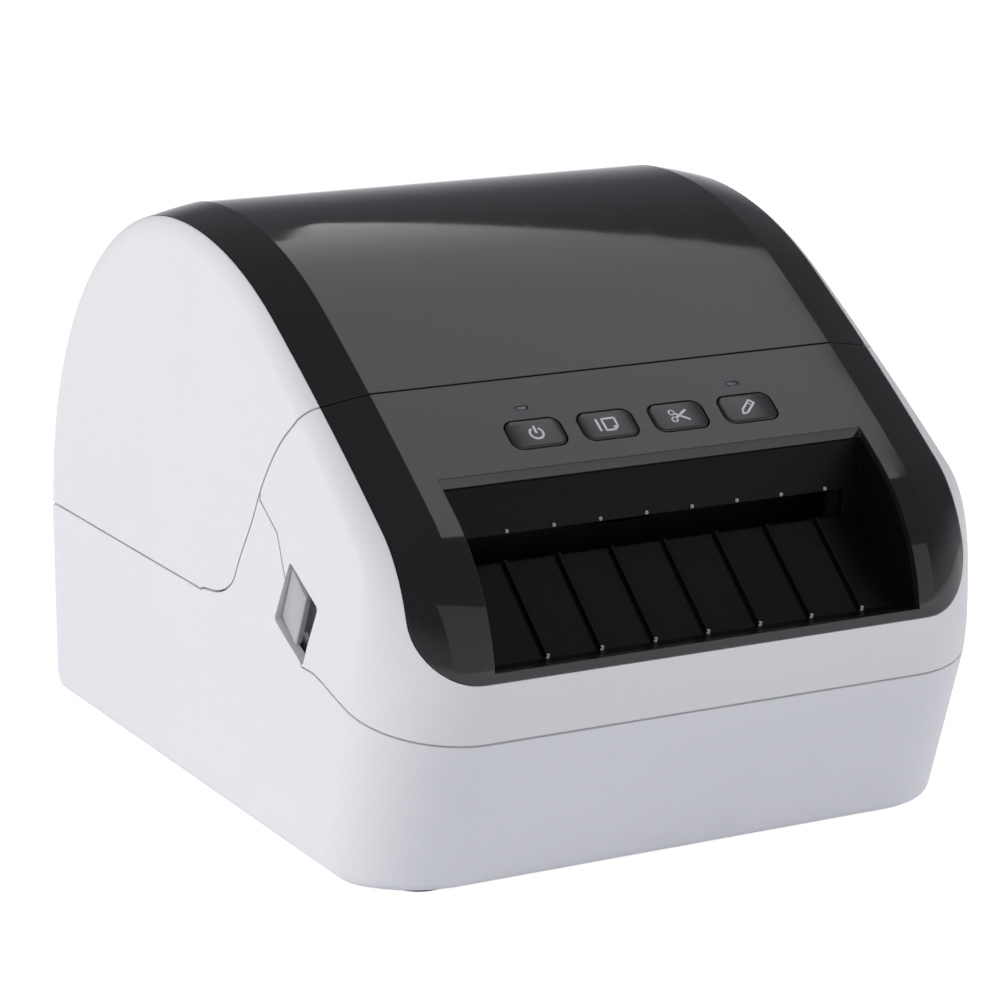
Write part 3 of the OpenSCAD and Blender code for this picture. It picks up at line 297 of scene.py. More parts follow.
def front_prism(name, outline, y0, y1):
    """A shape of the front view, from y0 to y1."""
    return loops_solid(name, [(x, y0, z) for x, z in outline],
                       [(x, y1, z) for x, z in outline])


def plan_prism(name, outline, z0, z1):
    """A shape of the plan, from z0 to z1."""
    return loops_solid(name, [(x, y, z0) for x, y in outline],
                       [(x, y, z1) for x, y in outline])


def on_slope(y, u, v, w):
    """A point u across, v up the slope and w out of it, in a frame at depth y."""
    out = lean(slope_angle(y))
    up = np.array([out[1], -out[0]])
    place = np.array([y, slope_height(y)]) + v * up + w * out
    return (u, place[0], place[1])


def slope_prism(name, outline, y, w0, w1):
    """A shape drawn on the sloping panel, from w0 to w1 above it."""
    return loops_solid(name, [on_slope(y, u, v, w0) for u, v in outline],
                       [on_slope(y, u, v, w1) for u, v in outline])


def circle(cx, cy, radius, count=48):
    return [(cx + radius * math.cos(2 * math.pi * i / count),
             cy + radius * math.sin(2 * math.pi * i / count)) for i in range(count)]


def round_rect(cx, cy, w, h, radius, count=8):
    points = []
    for sx, sy, start in ((1, 1, 0), (-1, 1, 90), (-1, -1, 180), (1, -1, 270)):
        for i in range(count + 1):
            a = math.radians(start + 90 * i / count)
            points.append((cx + sx * (w / 2 - radius) + radius * math.cos(a),
                           cy + sy * (h / 2 - radius) + radius * math.sin(a)))
    return points


def rect(x0, y0, x1, y1):
    return [(x0, y0), (x1, y0), (x1, y1), (x0, y1)]


def turned(points, angle, centre):
    c, s = math.cos(math.radians(angle)), math.sin(math.radians(angle))
    return [(centre[0] + x * c - y * s, centre[1] + x * s + y * c) for x, y in points]


def keep_result(piece):
    """Store what the modifiers make as the piece's own mesh."""
    graph = bpy.context.evaluated_depsgraph_get()
    mesh = bpy.data.meshes.new_from_object(piece.evaluated_get(graph))
    old = piece.data
    piece.modifiers.clear()
    piece.data = mesh
    bpy.data.meshes.remove(old)
    return piece


def delete(piece):
    mesh = piece.data
    bpy.data.objects.remove(piece)
    bpy.data.meshes.remove(mesh)


def boolean(piece, tool, operation):
    """Change the piece by a throwaway tool, then delete the tool."""
    before = len(piece.data.vertices)
    modifier = piece.modifiers.new("boolean", "BOOLEAN")
    modifier.operation = operation
    modifier.object = tool
    modifier.solver = "MANIFOLD"
    keep_result(piece)
    if len(piece.data.vertices) == before:
        print("  no change:", piece.name, operation, tool.name)
    delete(tool)
    return piece


def cut(piece, tool):
    return boolean(piece, tool, "DIFFERENCE")


def share(piece, tool):
    return boolean(piece, tool, "INTERSECT")


def both_sides(low, high):
    """The two ranges across the width that mirror each other."""
    return [sorted((side * low, side * high)) for side in (-1, 1)]


def merge(name, pieces):
    """Several closed solids in one mesh."""
    vertices, faces = [], []
    for piece in pieces:
        base = len(vertices)
        vertices += [v.co.copy() for v in piece.data.vertices]
        faces += [tuple(base + i for i in p.vertices) for p in piece.data.polygons]
        delete(piece)
    mesh = bpy.data.meshes.new(name)
    mesh.from_pydata(vertices, [], faces)
    whole = bpy.data.objects.new(name, mesh)
    scene.collection.objects.link(whole)
    return whole


print("cutting tools ready")


# %% [markdown]
# ## Lines of the mouldings
#
# The cover meets the case along a line that starts level above the rear, dips and climbs
# in a long S to the split across the slope. A smooth curve through a few points gives the
# S, and the same points moved half a seam either way give the gap.

# %% Lines in the side view
split_y = -57.3
split_p = np.array([split_y, slope_height(split_y)])
split_out = lean(slope_angle(split_y))
lid_low_z, lid_corner_y = 55.6, -1.5
lid_shares = [(0, 0.01), (0.179, 0.035), (0.314, 0.103), (0.385, 0.223), (0.493, 0.395),
              (0.579, 0.56), (0.679, 0.7), (0.78, 0.804), (0.905, 0.9)]
lid_run, lid_rise = lid_corner_y - split_y, split_p[1] - lid_low_z


def smooth_line(points, steps=5):
    """A curve through the points, with even ease at each."""
    p = [np.array(q, float) for q in points]
    p = [2 * p[0] - p[1]] + p + [2 * p[-1] - p[-2]]
    line = []
    for i in range(1, len(p) - 2):
        for s in range(steps):
            t = s / steps
            line.append(0.5 * (2 * p[i] + (p[i + 1] - p[i - 1]) * t
                               + (2 * p[i - 1] - 5 * p[i] + 4 * p[i + 1] - p[i + 2]) * t ** 2
                               + (3 * p[i] - p[i - 1] - 3 * p[i + 1] + p[i + 2]) * t ** 3))
    return line + [p[-2]]


def grown(outline, by):
    """The outline moved outward by a distance, corners kept sharp."""
    p = [np.array(q, float) for q in outline]
    area = sum(a[0] * b[1] - b[0] * a[1] for a, b in zip(p, p[1:] + p[:1]))
    turn = 1 if area > 0 else -1
    moved = []
    for i in range(len(p)):
        before = p[i] - p[i - 1]
        after = p[(i + 1) % len(p)] - p[i]
        n0 = turn * np.array([before[1], -before[0]]) / np.linalg.norm(before)
        n1 = turn * np.array([after[1], -after[0]]) / np.linalg.norm(after)
        moved.append(p[i] + by * (n0 + n1) / (1 + n0 @ n1))
    return moved


lid_edge = smooth_line([(lid_corner_y - a * lid_run, lid_low_z + b * lid_rise)
                        for a, b in lid_shares] + [tuple(split_p - wall * split_out)])
lid_region = [(150, lid_low_z), (lid_corner_y + 1, lid_low_z)] + lid_edge
lid_region += [split_p + 40 * split_out, (split_y, 188), (150, 188)]
frame_low = smooth_line([(front_y + 1.4, 41.2), (front_y + 28.7, 47.3),
                         (front_y + 41.8, 50.5), (front_y + 50, 50.8)])
frame_region = [(-150, 41.2)] + frame_low + [(-43.9, 80), (-33.4, 85.8), (-33.4, 188),
                                             (-150, 188)]
print(len(lid_region), "points in the cover's region,", len(frame_region), "in the frame's")


# %% Places on the black panel
grip_tilt, grip_y, grip_z = 25, -56.2, 62.9
recess = turned(round_rect(0, 0, 18, 17.6, 1.2), grip_tilt, (grip_y, grip_z))
tray_w, tray_back_y, tray_top_y = 118.0, -82.6, -81.2
tray_hollow = [(tray_back_y, 83.5), (tray_back_y, 76.6), (-104, 58.5), (-150, 58.5),
               (-150, 148)]
tray_hollow += [tuple(np.array([tray_top_y, slope_height(tray_top_y)]) + 40 * split_out),
                (tray_top_y, slope_height(tray_top_y))]
panel_low_z, panel_corner_r = 56.3, 15.0
button_y, button_pitch, button_mid_x = -72.6, 19.85, 1.7
button_x = [button_mid_x + (i - 1.5) * button_pitch for i in range(4)]
light_y, light_x = -65.6, (-28.3, 31.2)


def panel_outline(grow):
    low, r, half = panel_low_z - grow, panel_corner_r + grow, trim_x + grow
    left = [(-half + r + r * math.cos(math.radians(a)), low + r + r * math.sin(math.radians(a)))
            for a in spread(180, 270, 12)]
    right = [(-x, z) for x, z in reversed(left)]
    return [(-half, 200)] + left + right + [(half, 200)]


print("buttons at", [round(x, 2) for x in button_x])


# %% [markdown]
# ## The moulded shells
#
# Each shell starts as the outer solid, loses the inner solid, and is cut to its region.
# The cover carries a recess two millimetres deep for the black strip, and the frame of
# the front has the same, so the black mouldings lie flush with the white ones.

# %% The cover's two mouldings
def region_tool(region, grow, half=125):
    return side_prism("region", grown(region, grow), -half, half)


cover_white = share(crowned_solid("cover_skin"), region_tool(lid_region, -seam / 2))
cut(cover_white, crowned_solid("inside", shelf_in, wall, 0.6))
bed_x, bed_z = trim_x + panel_gap, strip_low_z - panel_gap
strip_bed = front_prism("strip_bed", rect(-bed_x, bed_z, bed_x, 160), -120, 111)
cut(strip_bed, crowned_solid("bed_floor", panel_t + panel_gap, 0, 1))
cut(cover_white, strip_bed)
cut(cover_white, front_prism("under_hinge", rect(-170, 0, 170, hinge_z), hinge_y, 111))
barrel = side_prism("barrel", circle(hinge_y, hinge_z, barrel_r, 64), -trim_x, trim_x)
boolean(cover_white, barrel, "UNION")
for low, high in both_sides(50, 62):
    cut(cover_white, side_prism("notch", circle(hinge_y, hinge_z, relief_r, 64), low, high))
cover_black = share(crowned_solid("cover_gloss_skin"), region_tool(lid_region, -seam / 2))
share(cover_black, front_prism("strip", rect(-trim_x, strip_low_z, trim_x, 160), -120, 111))
cut(cover_black, crowned_solid("strip_under", panel_t, 0, 1))
print("cover:", len(cover_white.data.polygons), "and", len(cover_black.data.polygons), "faces")

# %% The white frame of the front
front_white = share(crowned_solid("front_frame_skin"), region_tool(frame_region, -seam / 2))
cut(front_white, region_tool(lid_region, seam / 2))
cut(front_white, crowned_solid("inside", shelf_in, wall, 0.6))
panel_bed = front_prism("panel_bed", panel_outline(panel_gap), -150, -17.3)
cut(panel_bed, crowned_solid("bed_floor", panel_t + panel_gap, 0, 1))
cut(front_white, panel_bed)
window = [(-150, 57.1), (-17.3, 57.1), (-17.3, 148), (-150, 148)]
cut(front_white, side_prism("window", window, -61.9, 61.9))
for low, high in both_sides(77, 86):
    cut(front_white, side_prism("recess", recess, low, high))
print("front frame:", len(front_white.data.polygons), "faces")

# %% The black front panel
front_black = share(crowned_solid("front_gloss_skin"),
                    front_prism("panel", panel_outline(0), -150, -17.3))
cut(front_black, crowned_solid("panel_under", panel_t, 0, 1))
cut(front_black, region_tool(lid_region, seam / 2))
cut(front_black, side_prism("tray_hollow", tray_hollow, -tray_w / 2, tray_w / 2))
for x in button_x:
    cut(front_black, slope_prism("hole", round_rect(x, 0, 15.5, 9.5, 2.95), button_y, -9, 9))
for x in light_x:
    cut(front_black, slope_prism("slot", round_rect(x, 0, 3.6, 1.3, 0.63), light_y, -9, 9))
print("front panel:", len(front_black.data.polygons), "faces")

# %% [markdown]
# ## The lower case
#
# The lower case is the tub that carries everything: it keeps the knuckles of the hinge,
# the bosses of the case screws, the posts of the boards and the vents in the floor.

# %% The lower case
foot_places = [(sx * 65, y) for sx in (-1, 1) for y in (low_r - 86, 86)]
screw_places = [(sx * 71, sy * 64) for sx in (-1, 1) for sy in (-1, 1)]
base_skin = crowned_solid("base_skin")
cut(base_skin, crowned_solid("inside", wall, wall, 0.6))
cut(base_skin, region_tool(lid_region, seam / 2))
cut(base_skin, region_tool(frame_region, seam / 2))
cut(base_skin, side_prism("relief", circle(hinge_y, hinge_z, relief_r, 64), -86, 86))
for low, high in both_sides(77, 86):
    cut(base_skin, side_prism("recess", recess, low, high))
for x in range(-24, 25, 6):
    cut(base_skin, plan_prism("vent", rect(x - 1.2, 67, x + 1.2, 101), 0, 5))
cut(base_skin, front_prism("inlet_hole", rect(-55.02, 15.98, -32.98, 28.02), 105, 111))
cut(base_skin, front_prism("usb_hole", rect(37.98, 14.48, 50.02, 25.52), 105, 111))
for x, y in foot_places:
    cut(base_skin, plan_prism("foot_seat", circle(x, y, 7.02), 0, 2.5))
for x, y in screw_places:
    cut(base_skin, plan_prism("screw_hole", circle(x, y, 1.9, 24), 0, 5))
print("lower case:", len(base_skin.data.polygons), "faces")


# %% Bosses, posts and knuckles inside the lower case
def tube(name, x, y, z0, z1, outer, inner):
    body = plan_prism(name, circle(x, y, outer, 32), z0, z1)
    return cut(body, plan_prism("bore", circle(x, y, inner, 32), z0 - 1, z1 + 1))


inside = [tube("boss", x, y, 2.75, 16, 4, 1.52) for x, y in screw_places]
board_posts = [(sx * 62, y) for sx in (-1, 1) for y in (-88, -65)]
board_posts += [(sx * 52, y) for sx in (-1, 1) for y in (68, 96)]
inside += [plan_prism("post", circle(x, y, 3, 24), 2.75, 8) for x, y in board_posts]
for low, high in both_sides(50.4, 61.6):
    knuckle = side_prism("knuckle", circle(hinge_y, hinge_z, barrel_r, 48), low, high)
    web = side_prism("web", rect(hinge_y, 44, 107.52, hinge_z), low, high)
    boolean(knuckle, web, "UNION")
    bore = side_prism("bore", circle(hinge_y, hinge_z, 2.02), low - 1, high + 1)
    inside.append(cut(knuckle, bore))
for outer, inner in zip(both_sides(79.9, 83.75), both_sides(79, 82.5)):
    pivot = side_prism("pivot", circle(pivot_y, pivot_z, pivot_r, 40), *outer)
    inside.append(cut(pivot, side_prism("bore", circle(pivot_y, pivot_z, 2.52), *inner)))
base_skin = merge("base_skin", [base_skin] + inside)
print("lower case with its bosses:", len(base_skin.data.polygons), "faces")

# %% [markdown]
# ## The output tray
#
# The tray is one black moulding: a back wall with the exit slot, a floor that slopes to
# the front and two side walls behind the panel. It is cut from the same crowned solid, so
# its top edge follows the panel.

# %% The tray
tray = crowned_solid("tray_skin", 2.2, wall, 1)
tray_profile = [(-80.6, 61.5), (-80.6, height), (-112, height), (-112, 57.5), (-104, 57.5)]
share(tray, side_prism("tray_shape", tray_profile, -tray_half_w, tray_half_w))
cut(tray, side_prism("tray_hollow", tray_hollow, -tray_w / 2, tray_w / 2))
cut(tray, front_prism("exit_slot", rect(-53.5, 76.6, 53.5, 83.5), -83.6, -79.6))
under = [(-79.6, 74.6), (-82.6, 74.6), (-102, 56.5), (-102, 0), (-79.6, 0)]
cut(tray, side_prism("tray_under", under, -tray_w / 2, tray_w / 2))
print("tray:", len(tray.data.polygons), "faces")

# %% [markdown]
# ## Buttons, lenses and levers
#
# A button is a cap with a softly rounded top edge, a flange behind the panel and a stem.
# A Bevel modifier rounds the edges, and its result is stored. The icons are printed, so
# each is a thin raised film on its cap.


# %% The four buttons
def rounded(piece, width, segments=3, angle=40):
    modifier = piece.modifiers.new("edges", "BEVEL")
    modifier.width = width * mm
    modifier.segments = segments
    modifier.limit_method = "ANGLE"
    modifier.angle_limit = math.radians(angle)
    return keep_result(piece)


keys = {}
for name, x in zip(("power", "feed", "cut", "edit"), button_x):
    cap = slope_prism("cap", round_rect(x, 0, 14.8, 8.8, 2.6), button_y, -3, 0.25)
    rounded(cap, 0.5)
    flange = slope_prism("flange", round_rect(x, 0, 16.4, 10.4, 3.4), button_y, -3.2, -2.4)
    stem = slope_prism("stem", circle(x, 0, 1.6, 24), button_y, -6.4, -3)
    keys[name] = merge(name + "_key_cap", [cap, flange, stem])
print("buttons:", list(keys))


# %% Icons on the buttons
def stroke(points, width, closed=False):
    """Flat quads along a line, as outlines for thin prisms."""
    quads = []
    ends = points[1:] + points[:1] if closed else points[1:]
    for (ax, ay), (bx, by) in zip(points, ends):
        length = math.hypot(bx - ax, by - ay)
        ux, uy = (bx - ax) / length, (by - ay) / length
        nx, ny = -uy * width / 2, ux * width / 2
        ex, ey = ux * width * 0.15, uy * width * 0.15
        quads.append([(ax - ex + nx, ay - ey + ny), (ax - ex - nx, ay - ey - ny),
                      (bx + ex - nx, by + ey - ny), (bx + ex + nx, by + ey + ny)])
    return quads


def arc(cx, cy, radius, start, end, count=14):
    return [(cx + radius * math.cos(math.radians(a)), cy + radius * math.sin(math.radians(a)))
            for a in spread(start, end, count)]


bold, plain, fine = 0.52, 0.46, 0.36
icon_scale, icon_step = 1.2, 0.0006
icon_lines = {
    "power": stroke(arc(0, -0.15, 1.45, 125, 415), bold) + stroke([(0, -0.1), (0, 1.75)], bold),
    "feed": stroke([(-2.3, -1.6), (-2.3, 1.6)], bold)
    + stroke([(-1.0, 1.5), (1.9, 1.5), (1.9, -0.7), (1.0, -1.6), (-1.0, -1.6)], 0.5, True)
    + stroke([(1.9, -0.7), (1.0, -0.7), (1.0, -1.6)], 0.3),
    "cut": stroke(arc(-1.35, 0.95, 0.62, 0, 360), fine)
    + stroke(arc(-1.35, -0.95, 0.62, 0, 360), fine)
    + stroke([(-0.85, 0.6), (2.1, -1.35)], bold) + stroke([(-0.85, -0.6), (2.1, 1.35)], bold),
    "edit": stroke([(-1.9, -1.6), (-1.5, -0.5), (1.0, 1.9), (1.9, 1.0), (-0.7, -1.4)],
                   plain, True)
    + stroke([(0.3, 1.2), (1.2, 0.35)], 0.3),
}
icons = {}
for (name, quads), x in zip(icon_lines.items(), button_x):
    films = []
    for i, quad in enumerate(quads):
        quad = [(x + icon_scale * u, icon_scale * v) for u, v in quad]
        top = 0.27 + icon_step * i
        films.append(slope_prism("film", quad, button_y, 0.24, top))
    icons[name] = merge(name + "_icon", films)
print("icon strokes:", {k: len(v) for k, v in icon_lines.items()})

# %% The two lenses
lens_parts = []
for x in light_x:
    face = slope_prism("lens", round_rect(x, 0, 3.2, 1.1, 0.5), light_y, -2.4, -0.05)
    rounded(face, 0.15, 2)
    lens_parts.append(face)
    lens_parts.append(slope_prism("lens_foot", round_rect(x, 0, 4, 2.1, 0.65), light_y,
                                  -3.2, -2.2))
lenses = merge("panel_lenses", lens_parts)
print("lens pieces:", len(lens_parts))


# %% [markdown]
# The release levers sit in a recess on each side. The grip is a plate nearly flush with the
# wall, with a hollow in front of it for the finger. An arm behind the wall runs down to the
# pivot and up to the hook that holds the cover's latch bar.

# %% The release levers
def lever(name, side):
    profile = [(-83.3, 8.2), (-84.5, -2.2), (-84.2, -2.9), (-82.6, -2.4), (-80.6, 1.0),
               (-79.8, 1.0), (-79.8, -10.2), (-76.5, -10.2), (-76.5, 8.2)]
    loops = []
    for h in (-7.45, 7.3):
        places = turned([(v, h) for _, v in profile], grip_tilt, (grip_y, grip_z))
        loops.append([(-side * x, y, z) for (x, _), (y, z) in zip(profile, places)])
    grip = loops_solid("grip", *loops)
    rounded(grip, 0.25, 2)
    hook_y, hook_z = -57.0, 96.1
    outline = [(pivot_y - pivot_r, pivot_z), (pivot_y + pivot_r, pivot_z), (-51.2, grip_z),
               (hook_y, 71.7), (hook_y, hook_z),
               (-51.8, hook_z), (-51.8, hook_z + 1), (-54, hook_z + 2),
               (hook_y - 1, hook_z + 2), (hook_y - 4, hook_z), (hook_y - 4, grip_z)]
    low, high = sorted((side * 79.5, side * 76.5))
    arm = side_prism("arm", outline, low, high)
    hub = side_prism("hub", circle(pivot_y, pivot_z, pivot_r, 40), low, high)
    boolean(arm, hub, "UNION")
    cut(arm, side_prism("bore", circle(pivot_y, pivot_z, 2.55), low - 1, high + 1))
    rounded(arm, 0.25, 2)
    return merge(name, [grip, arm])


left_lever = lever("left_lever_grip", -1)
right_lever = lever("right_lever_grip", 1)
print("lever:", len(left_lever.data.polygons), "faces")

# %% [markdown]
# ## What repeats: a small kit for Geometry Nodes
#
# Ribs, pins, screws and springs repeat by a rule, so node trees make them. A helper adds a
# node, sets its options and feeds its sockets, and another turns the tree's result into a
# plain mesh.


# %% Helpers for node trees
class GrowTree:
    """A Geometry Nodes tree with named inputs that ends in one material."""

    def __init__(self, name, inputs):
        self.tree = bpy.data.node_groups.new(name, "GeometryNodeTree")
        face = self.tree.interface
        face.new_socket(name="Geometry", in_out="OUTPUT", socket_type="NodeSocketGeometry")
        self.ids = {}
        for label, (kind, value) in inputs.items():
            item = face.new_socket(name=label, in_out="INPUT", socket_type=kind)
            if value is not None:
                item.default_value = value
            self.ids[label] = item.identifier
        self.source = self.tree.nodes.new("NodeGroupInput")
        self.sink = self.tree.nodes.new("NodeGroupOutput")

    def value(self, label):
        return self.source.outputs[label]

    def node(self, kind, settings=None, sockets=None):
        node = self.tree.nodes.new(kind)
        for key, option in (settings or {}).items():
            setattr(node, key, option)
        for key, fed in (sockets or {}).items():
            if isinstance(fed, bpy.types.NodeSocket):
                self.tree.links.new(fed, node.inputs[key])
            else:
                node.inputs[key].default_value = fed
        return node

    def finish(self, geometry):
        real = self.node("GeometryNodeRealizeInstances", sockets={"Geometry": geometry})
        dressed = self.node("GeometryNodeSetMaterial", sockets={
            "Geometry": real.outputs[0], "Material": self.value("Material")})
        self.tree.links.new(dressed.outputs[0], self.sink.inputs[0])

    def grow(self, name, values):
        """Run the tree once with these inputs and keep its result as a plain mesh."""
        piece = new_piece(name, [(0, 0, 0)], [])
        modifier = piece.modifiers.new("grow", "NODES")
        modifier.node_group = self.tree
        for label, value in values.items():
            modifier[self.ids[label]] = value
        keep_result(piece)
        return piece


print("node tree kit ready")

# %% [markdown]
# ## Finishes: expressions that become shader nodes
#
# A finish is a small program: noise at the right scale, a mask, a mix. Writing it as Python
# expressions keeps it readable, so one class wraps a socket and turns each operator into a
# Math node, and one method adds any other node.


# %% A socket that can be reckoned with
class Signal:
    """A number carried by a shader socket."""

    def __init__(self, finish, socket):
        self.finish = finish
        self.socket = socket

    def reckon(self, operation, first, second):
        settings = {"operation": operation}
        return self.finish.node("ShaderNodeMath", settings, {0: first, 1: second}).out()

    def __add__(self, other):
        return self.reckon("ADD", self, other)

    def __radd__(self, other):
        return self.reckon("ADD", other, self)

    def __sub__(self, other):
        return self.reckon("SUBTRACT", self, other)

    def __rsub__(self, other):
        return self.reckon("SUBTRACT", other, self)

    def __mul__(self, other):
        return self.reckon("MULTIPLY", self, other)

    def __rmul__(self, other):
        return self.reckon("MULTIPLY", other, self)


class Step:
    """One node of a finish."""

    def __init__(self, finish, node):
        self.finish = finish
        self.node = node

    def out(self, key=0):
        return Signal(self.finish, self.node.outputs[key])


class Finish:
    """The node tree of one material, or of the world when its tree is given."""

    def __init__(self, name, tree=None):
        if tree is None:
            self.material = bpy.data.materials.new(name)
            self.material.use_nodes = True
            tree = self.material.node_tree
            tree.nodes.clear()
        self.tree = tree
        self.place = self.node("ShaderNodeTexCoord").out("Object")

    def node(self, kind, settings=None, sockets=None):
        node = self.tree.nodes.new(kind)
        for key, option in (settings or {}).items():
            setattr(node, key, option)
        for key, fed in (sockets or {}).items():
            if isinstance(fed, Signal):
                self.tree.links.new(fed.socket, node.inputs[key])
            else:
                node.inputs[key].default_value = fed
        return Step(self, node)

    def noise(self, scale, detail=2.0, rough=0.5, stretch=None):
        place = self.place
        if stretch:
            place = self.node("ShaderNodeMapping", {}, {
                "Vector": place, "Scale": stretch}).out()
        return self.node("ShaderNodeTexNoise", {}, {
            "Vector": place, "Scale": scale, "Detail": detail, "Roughness": rough}).out(0)

    def fit(self, value, low, high, to_low, to_high):
        return self.node("ShaderNodeMapRange", {"interpolation_type": "SMOOTHSTEP"}, {
            "Value": value, "From Min": low, "From Max": high, "To Min": to_low,
            "To Max": to_high}).out(0)

    def tint(self, factor, first, second):
        """A colour between two, by a factor."""
        node = self.node("ShaderNodeMix", {"data_type": "RGBA"}, {0: factor})
        for index, colour in ((6, first), (7, second)):
            socket = node.node.inputs[index]
            if isinstance(colour, Signal):
                self.tree.links.new(colour.socket, socket)
            else:
                socket.default_value = (*colour, 1.0)
        return node.out(2)

    def relief(self, height, depth, edge=0.0, strength=1.0):
        """The surface's normal from a height, with edges softened over a radius."""
        sockets = {"Height": height, "Distance": depth, "Strength": strength}
        if edge:
            sockets["Normal"] = self.node("ShaderNodeBevel", {"samples": 4}, {
                "Radius": edge}).out()
        return self.node("ShaderNodeBump", {}, sockets).out()

    def surface(self, **sockets):
        names = {key: key.replace("_", " ").title() for key in sockets}
        names.update(ior="IOR", specular_ior_level="Specular IOR Level")
        fed = {names[key]: value for key, value in sockets.items()}
        for key, value in fed.items():
            if isinstance(value, tuple) and len(value) == 3:
                fed[key] = (*value, 1.0)
        shader = self.node("ShaderNodeBsdfPrincipled", {}, fed).out()
        self.node("ShaderNodeOutputMaterial", {}, {"Surface": shader})
        return self.material


finishes = {}
print("shader kit ready")


# %% [markdown]
# ## White moulded plastic
#
# The shells are a fine satin white: an even colour, a spark-eroded grain of about a sixth
# of a millimetre, faint flow clouds a few centimetres wide that change the sheen, and a
# trace of dust low down. Edges are rounded by a third of a millimetre.

# %% The white plastic
def white_plastic(name, tone):
    f = Finish(name)
    clouds = f.noise(18.0, 3.0)
    grain = f.noise(5200.0, 2.0, 0.6)
    fine = f.noise(2100.0, 2.0)
    height_z = f.node("ShaderNodeSeparateXYZ", {}, {0: f.place}).out(2)
    dust = f.fit(height_z, 0.0, 0.02, 1.0, 0.0) * f.fit(f.noise(140.0, 4.0), 0.45, 0.7, 0, 1)
    colour = f.tint(clouds, tone, tuple(c * 0.975 for c in tone))
    colour = f.tint(dust * 0.05, colour, (0.52, 0.5, 0.47))
    rough = 0.4 + 0.08 * clouds + 0.07 * grain + 0.06 * dust
    normal = f.relief(grain + 0.4 * fine, 0.000018, 0.00035)
    return f.surface(base_color=colour, roughness=rough, normal=normal, ior=1.5,
                     specular_ior_level=0.4)


finishes["white_plastic"] = white_plastic("white_plastic", (0.85, 0.848, 0.848))
# The lower case's copy is tinted faintly blue: painted cool light, standing in for the bluish
# bounce light on its lower front.
finishes["cool_lit_case_plastic"] = white_plastic("cool_lit_case_plastic", (0.85, 0.848, 0.862))
print("white plastics:", len(finishes))


# %% [markdown]
# ## Gloss black plastic
#
# The black strip is polished. Its reflections wander a little, because polished mouldings
# keep a slight waviness, and a film of dust and a few wiping marks change the gloss.

# %% The black plastics
def black_plastic(name, tone, gloss, edge, shine=0.5):
    f = Finish(name)
    wave = f.noise(55.0, 1.0)
    haze = f.noise(26.0, 5.0, 0.6)
    wipes = f.noise(300.0, 3.0, 0.6, (1.0, 0.08, 0.3))
    specks = f.fit(f.noise(2600.0, 1.0), 0.72, 0.78, 0.0, 1.0)
    colour = f.tint(specks * 0.25, tone, (0.09, 0.09, 0.095))
    rough = gloss + 0.05 * haze + 0.03 * f.fit(wipes, 0.5, 0.75, 0, 1) + 0.2 * specks
    normal = f.relief(wave + 0.002 * wipes, 0.00003, edge)
    return f.surface(base_color=colour, roughness=rough, normal=normal, ior=1.5,
                     specular_ior_level=shine)


finishes["black_gloss"] = black_plastic("black_gloss", (0.0105, 0.0105, 0.0115), 0.035, 0.00035)
finishes["tray_black"] = black_plastic("tray_black", (0.0035, 0.0033, 0.0042), 0.36, 0.0003, 0.1)
finishes["button_plastic"] = black_plastic("button_plastic", (0.02, 0.02, 0.022), 0.16, 0.0002)
print("black plastics ready")


# %% [markdown]
# ## The other plastics, rubber, paper and board
#
# Grey and dark mouldings are satin with the same grain. Rubber is dull with a bloom. Paper
# and the wound core have soft fibres, and the circuit boards a green mask over copper
# tracks.

# %% Plain mouldings, rubber, paper and boards
def satin(name, tone, rough_at=0.42, grain_depth=0.00002, clouds_by=0.06):
    f = Finish(name)
    clouds = f.noise(60.0, 3.0)
    grain = f.noise(4200.0, 2.0, 0.6)
    darker = tuple(c * (1 - clouds_by * 2) for c in tone)
    colour = f.tint(clouds, tone, darker)
    normal = f.relief(grain, grain_depth, 0.00025)
    return f.surface(base_color=colour, roughness=rough_at + 0.1 * clouds + 0.05 * grain,
                     normal=normal)


def card(name, tone, fibre_tone):
    f = Finish(name)
    fibres = f.noise(1800.0, 5.0, 0.7, (0.3, 1.0, 1.0))
    blotch = f.noise(90.0, 2.0)
    colour = f.tint(fibres * 0.5 + blotch * 0.3, tone, fibre_tone)
    return f.surface(base_color=colour, roughness=0.62 + 0.15 * blotch,
                     normal=f.relief(fibres, 0.00002))


def board(name):
    f = Finish(name)
    cells = f.node("ShaderNodeTexBrick", {"offset": 0.35, "squash": 1.0}, {
        "Vector": f.place, "Scale": 420.0, "Mortar Size": 0.018, "Mortar Smooth": 0.2,
        "Brick Width": 1.1, "Row Height": 0.32}).out("Fac")
    spots = f.fit(f.noise(900.0, 0.0), 0.66, 0.7, 0.0, 1.0)
    colour = f.tint(cells * 0.55, (0.012, 0.13, 0.045), (0.04, 0.24, 0.08))
    colour = f.tint(spots * 0.6, colour, (0.45, 0.4, 0.2))
    return f.surface(base_color=colour, roughness=0.3 + 0.1 * cells,
                     normal=f.relief(cells + spots, 0.00003))


finishes["dark_plastic"] = satin("dark_plastic", (0.03, 0.03, 0.033), 0.45)
finishes["grey_plastic"] = satin("grey_plastic", (0.5, 0.5, 0.505), 0.4)
finishes["ivory_plastic"] = satin("ivory_plastic", (0.72, 0.68, 0.55), 0.38, 0.00001)
finishes["rubber"] = satin("rubber", (0.028, 0.028, 0.03), 0.7, 0.00004, 0.2)
finishes["head_ceramic"] = satin("head_ceramic", (0.05, 0.05, 0.055), 0.2, 0.000006)
finishes["icon_print"] = satin("icon_print", (0.8, 0.8, 0.82), 0.5, 0.000004)
finishes["paper"] = card("paper", (0.86, 0.86, 0.84), (0.74, 0.74, 0.72))
finishes["cardboard"] = card("cardboard", (0.47, 0.34, 0.2), (0.33, 0.23, 0.13))
finishes["circuit_board"] = board("circuit_board")
print(len(finishes), "finishes so far")
